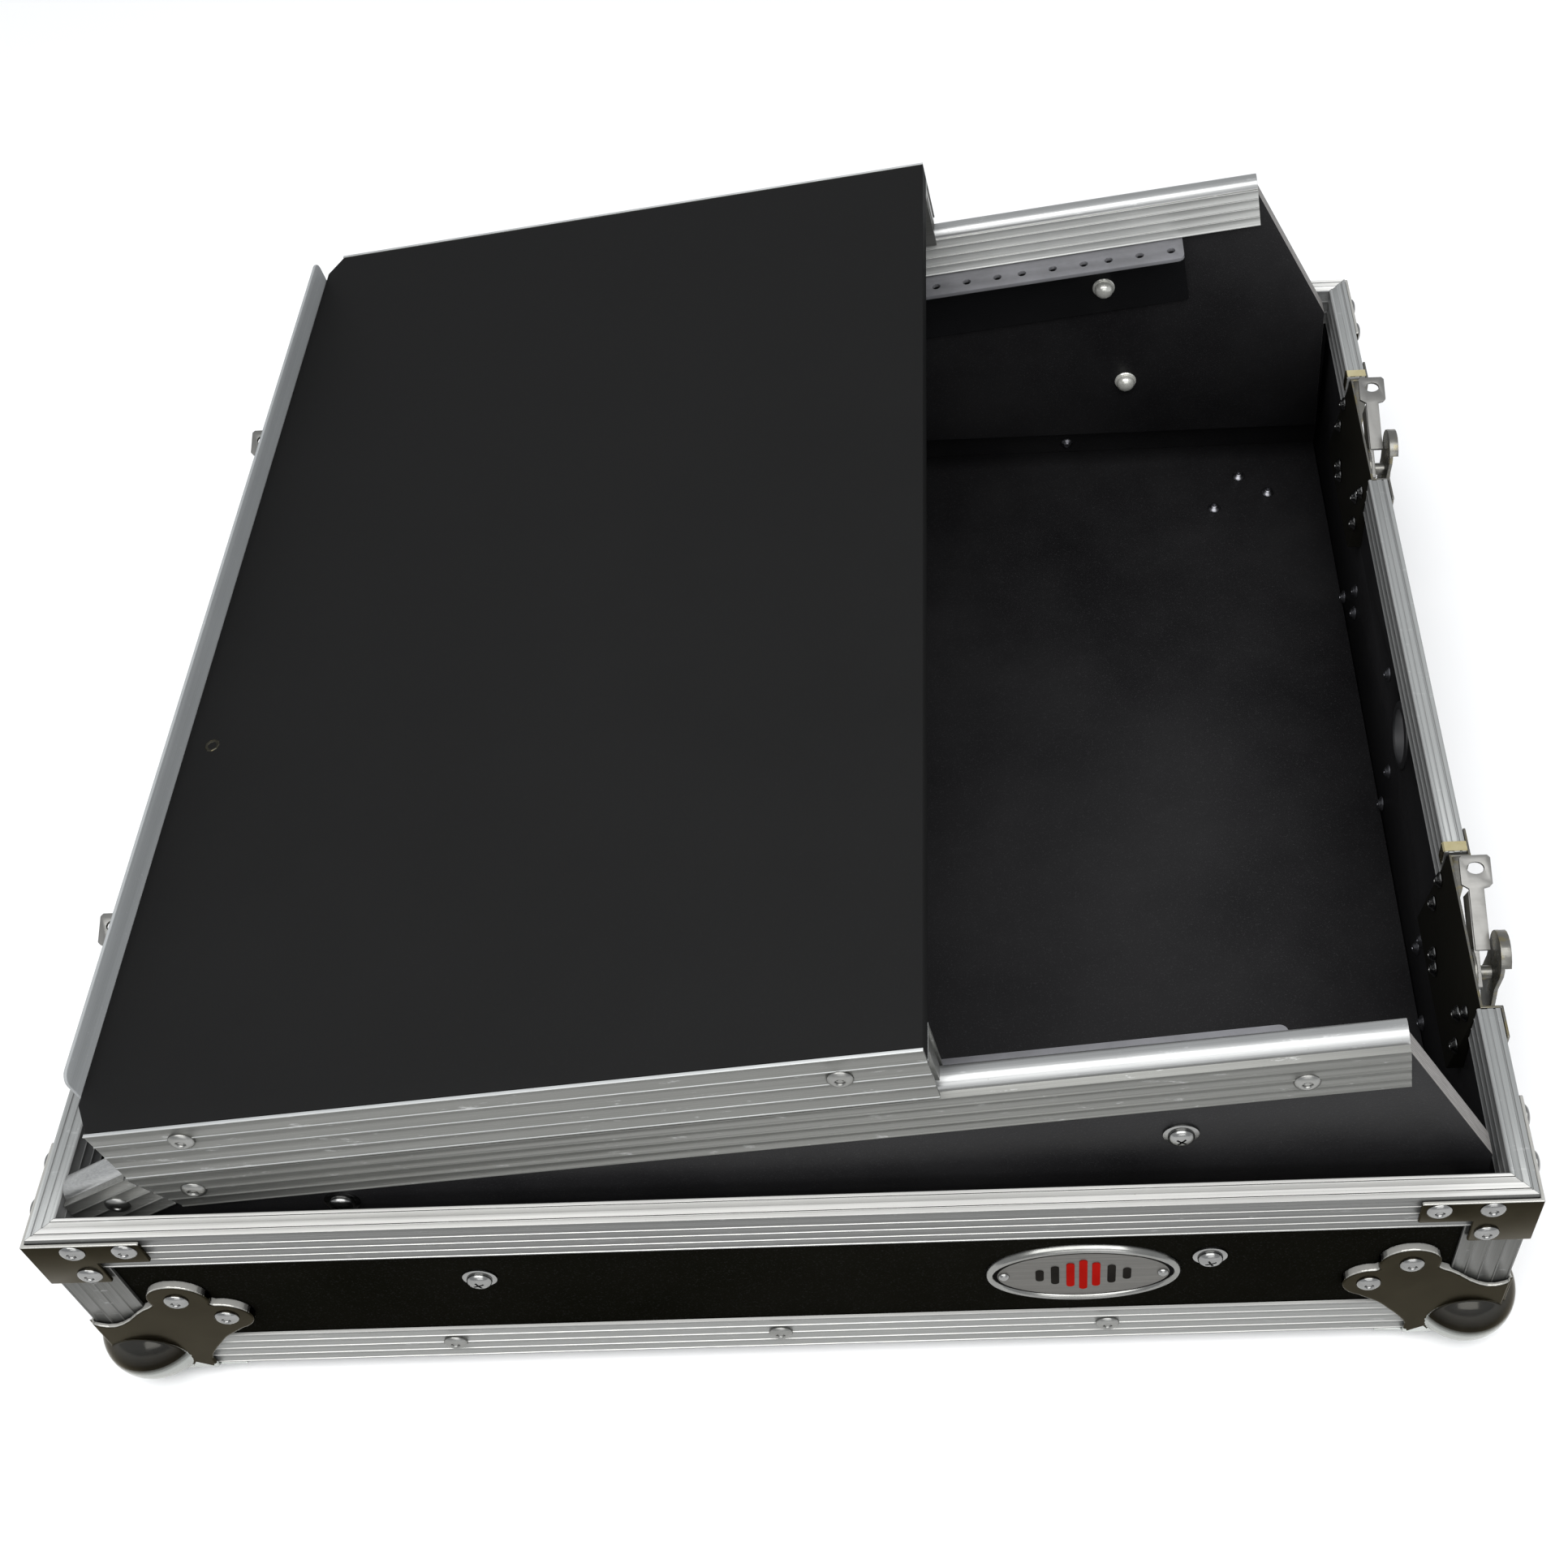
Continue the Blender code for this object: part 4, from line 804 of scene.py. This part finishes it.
def pan_outside(normal, centre):
    """True on the black outer faces of a dish's pan, which bulges inside the wall."""
    depth = HALF_LENGTH - abs(centre.x)
    along = centre.y - math.copysign(LATCH_S * MM, centre.y)
    if depth < 1.0 * MM:
        return False
    faces_tray = normal.x * centre.x < -0.5 * HALF_LENGTH and depth > 6.0 * MM
    under = normal.z < -0.5 and centre.z < BALL_DROP + 70.0 * MM
    beside = abs(along) > 30.0 * MM and normal.y * along > 0.5 * abs(along)
    return faces_tray or under or beside


def dress_latches():
    for name in NODES:
        if name.startswith("latch_"):
            if name.endswith("_dish"):
                soften(name, [MATS["zinc"], MATS["cover"]], "zinc_plate", 0.35, 3, edge=pan_outside)
            else:
                soften(name, [MATS["hook" if name.endswith("_hook") else "zinc"]], "zinc_plate", 0.35, 3)


def build_dish_tails():
    """Rivet tails on the sloping back of each latch dish, inside the wall."""
    spots = ((-31, 100), (-26, 92), (-36, 84), (5, 78), (11, 80), (30, 90), (34, 101))
    for wall in ("front", "rear"):
        inward = [-c for c in NORMALS[wall]]
        for label, sign in SIDES:
            tails = bmesh.new()
            for s, z in spots:
                back = PAN_DEPTH + (TRAY_TOP - z) / PAN_HEIGHT * PAN_FALL
                stamp(tails, TAIL, facing(wall_point(wall, back, sign * LATCH_S + s, z), inward))
            finish_piece(to_object(f"dish_tails_{wall}_{label}", tails, [MATS["rivet"]], 50), "case",
                         "polished_steel")


# ---------------------------------------------------------------- badge, port, small parts

def badge_ring_point(angle, half_a, half_b, height):
    return wall_point("right", 1.6 - height, BADGE_X + half_a * math.cos(angle),
                      BADGE_Z + half_b * math.sin(angle))


def badge_ring(half_a, half_b, height):
    return [badge_ring_point(2 * math.pi * i / BADGE_STEPS, half_a, half_b, height)
            for i in range(BADGE_STEPS)]


def build_badge_layers():
    """Chrome bead round a near-black ring that paints the groove's shadow, and a brushed plate."""
    profile = ((0.0, 0.0), (0.25, 1.2), (0.9, 2.3), (1.8, 2.75), (2.6, 2.45), (3.1, 1.9), (3.3, 1.2))
    bm = bmesh.new()
    loft(bm, [badge_ring(38.3 - inset, 22.5 - inset, height) for inset, height in profile])
    finish_piece(to_object("badge_bead", bm, [MATS["badge_ring"]], 50), "case", "badge_metal", "badge")
    for name, half_a, half_b, low, high, key in (("badge_groove", 35.3, 19.5, 1.0, 1.3, "badge_line"),
                                                 ("badge_plate", 33.5, 17.7, 1.1, 1.75, "badge_face")):
        bm = bmesh.new()
        loft(bm, [badge_ring(half_a, half_b, height) for height in (low, high)])
        finish_piece(to_object(name, bm, [MATS[key]], 30), "case", "badge_metal")


def build_badge_emblem():
    """Plain level meter: rounded bars on the plate, positions and heights in millimetres."""
    for key, bars in (("badge_dark", ((-17, 9), (-11, 15), (11, 15), (17, 9))),
                      ("badge_red", ((-5, 20), (0, 25), (5, 20)))):
        bm = bmesh.new()
        for x, height in bars:
            outline = arc((BADGE_X + x, BADGE_Z + height / 2 - 1.5), 1.6, 0, 180, 6) \
                + arc((BADGE_X + x, BADGE_Z - height / 2 + 1.5), 1.6, 180, 360, 6)
            loft(bm, [[wall_point("right", 1.6 - h, s, z) for s, z in outline] for h in (1.5, 2.05)])
        finish_piece(to_object(f"{key}_bars", bm, [MATS[key]], 30), "case", "badge_metal")


def build_badge_pins():
    bm = bmesh.new()
    profile = [(0, -0.2), (2.3, -0.2), (2.3, 0.3), (1.7, 1.1), (0.8, 1.5), (0, 1.55)]
    pin = lathe_mesh("badge_pin", profile, 24)
    for x in (-31.0, 31.0):
        stamp(bm, pin, facing(wall_point("right", -0.1, BADGE_X + x, BADGE_Z), (0, -1, 0)))
    finish_piece(to_object("badge_pins", bm, [MATS["rivet"]], 50), "case", "badge_metal")


def build_port_ring():
    """Plastic bush with a lip on both faces of the rear wall."""
    section = [(12.4, -0.1), (12.4, 6.8), (13.0, 7.5), (14.8, 7.4), (15.8, 6.9), (15.9, 6.35), (13.2, 6.34),
               (13.2, -0.02), (15.9, -0.04), (15.8, -0.6), (14.6, -1.0), (13.0, -0.9)]
    bm = bmesh.new()
    steps = 48
    base = wall_point("rear", 1.6, PORT_Y, PORT_Z)
    loops = []
    for i in range(steps):
        angle = 2 * math.pi * i / steps
        across, up = math.cos(angle) * MM, math.sin(angle) * MM
        loops.append([bm.verts.new(base + Vector((-h * MM, r * across, r * up))) for r, h in section])
    for loop, other in zip(loops, loops[1:] + loops[:1]):
        for k in range(len(section)):
            m = (k + 1) % len(section)
            bm.faces.new((loop[k], loop[m], other[m], other[k]))
    finish_piece(to_object("cable_port_ring", bm, [MATS["rubber"]], 40), "case", "laminate")


def build_shelf_screw():
    """Countersunk screw in the shelf near its low edge."""
    mesh = lathe_mesh("shelf_screw_template", [(0, -1.0), (3.2, -1.0), (3.3, 0.05), (2.9, 0.3), (2.0, 0.1),
                                               (1.2, -0.5), (0, -0.7)], 9)
    bm = bmesh.new()
    x = -236.0
    spot = Vector((x * MM, -75.0 * MM, (SHELF_TOP + SLOPE_RATIO * x) * MM + BALL_DROP))
    stamp(bm, mesh, facing(spot, (-SIN, 0, COS)))
    finish_piece(to_object("shelf_screw", bm, [MATS["screw"]], 20), "shelf", "shelf_black")


def build_rim_clips():
    """Bent end of each dish, folded over the cut end of the rim; its pale yellow is partly the zinc's own
    colour and partly a painted glint.
    """
    profile = [(-0.25, 93.0), (-0.25, 115.0), (-0.1, 115.3), (9.2, 115.3), (9.9, 114.7), (9.9, 106.0),
               (9.55, 106.0), (9.55, 114.2), (9.0, 115.0), (0.2, 115.0), (0.0, 114.6), (0.0, 93.0)]
    for wall in ("front", "rear"):
        for label, sign in SIDES:
            start = sign * LATCH_S + 38.6
            bm = bmesh.new()
            loft(bm, [[wall_point(wall, n, start + step, z) for n, z in profile]
                      for step in (0.0, 1.2, 3.6, 4.8)])
            finish_piece(to_object(f"rim_clip_{wall}_{label}", bm, [MATS["gold"]], 30), "case",
                         "zinc_plate")


def build_all():
    dress_extrusions()
    dress_panels()
    dress_braces()
    build_ball_corners()
    dress_latches()
    build_dish_tails()
    build_rim_clips()
    build_rivets()
    build_rail_rivets()
    build_tails()
    build_bolts()
    build_badge_layers()
    build_badge_emblem()
    build_badge_pins()
    build_port_ring()
    build_shelf_screw()


# ---------------------------------------------------------------- stage, lights, camera

def build_stage():
    bm = bmesh.new()
    bmesh.ops.create_grid(bm, x_segments=8, y_segments=8, size=6.0)
    floor = to_object("stage_floor", bm, [floor_material()])
    floor.location.z = 0.0


def area_light(name, location, target, size, power):
    data = bpy.data.lights.new(name, "AREA")
    data.shape = "RECTANGLE"
    data.size, data.size_y = size
    data.energy = power
    obj = bpy.data.objects.new(name, data)
    obj.location = location
    direction = Vector(target) - Vector(location)
    obj.rotation_euler = direction.to_track_quat("-Z", "Y").to_euler()
    bpy.context.scene.collection.objects.link(obj)


def build_lights():
    world = bpy.data.worlds.new("studio")
    world.use_nodes = True
    background = world.node_tree.nodes["Background"]
    background.inputs["Color"].default_value = (0.95, 0.97, 1.0, 1.0)
    background.inputs["Strength"].default_value = 0.75
    bpy.context.scene.world = world
    area_light("overhead", (0.0, -0.75, 1.8), (0, 0.0, 0.1), (2.4, 1.3), 42.0)
    area_light("front_fill", (0.3, -2.2, 1.1), (0, 0, 0.1), (1.6, 1.0), 10.0)


def build_camera():
    """High camera off the right-hand side, looking down at the case."""
    data = bpy.data.cameras.new("camera")
    obj = bpy.data.objects.new("camera", data)
    bpy.context.scene.collection.objects.link(obj)
    obj.location = (0.09427, -0.60994, 0.79785)
    obj.rotation_euler = [math.radians(angle) for angle in (38.9326, 2.5261, -0.6747)]
    data.sensor_width = 36.0
    data.lens = 45.974
    data.shift_x = -0.11185
    data.shift_y = -0.00292
    data.clip_start = 0.01
    bpy.context.scene.camera = obj


build_all()
build_stage()
build_lights()
build_camera()
bpy.context.scene.view_settings.view_transform = "Standard"
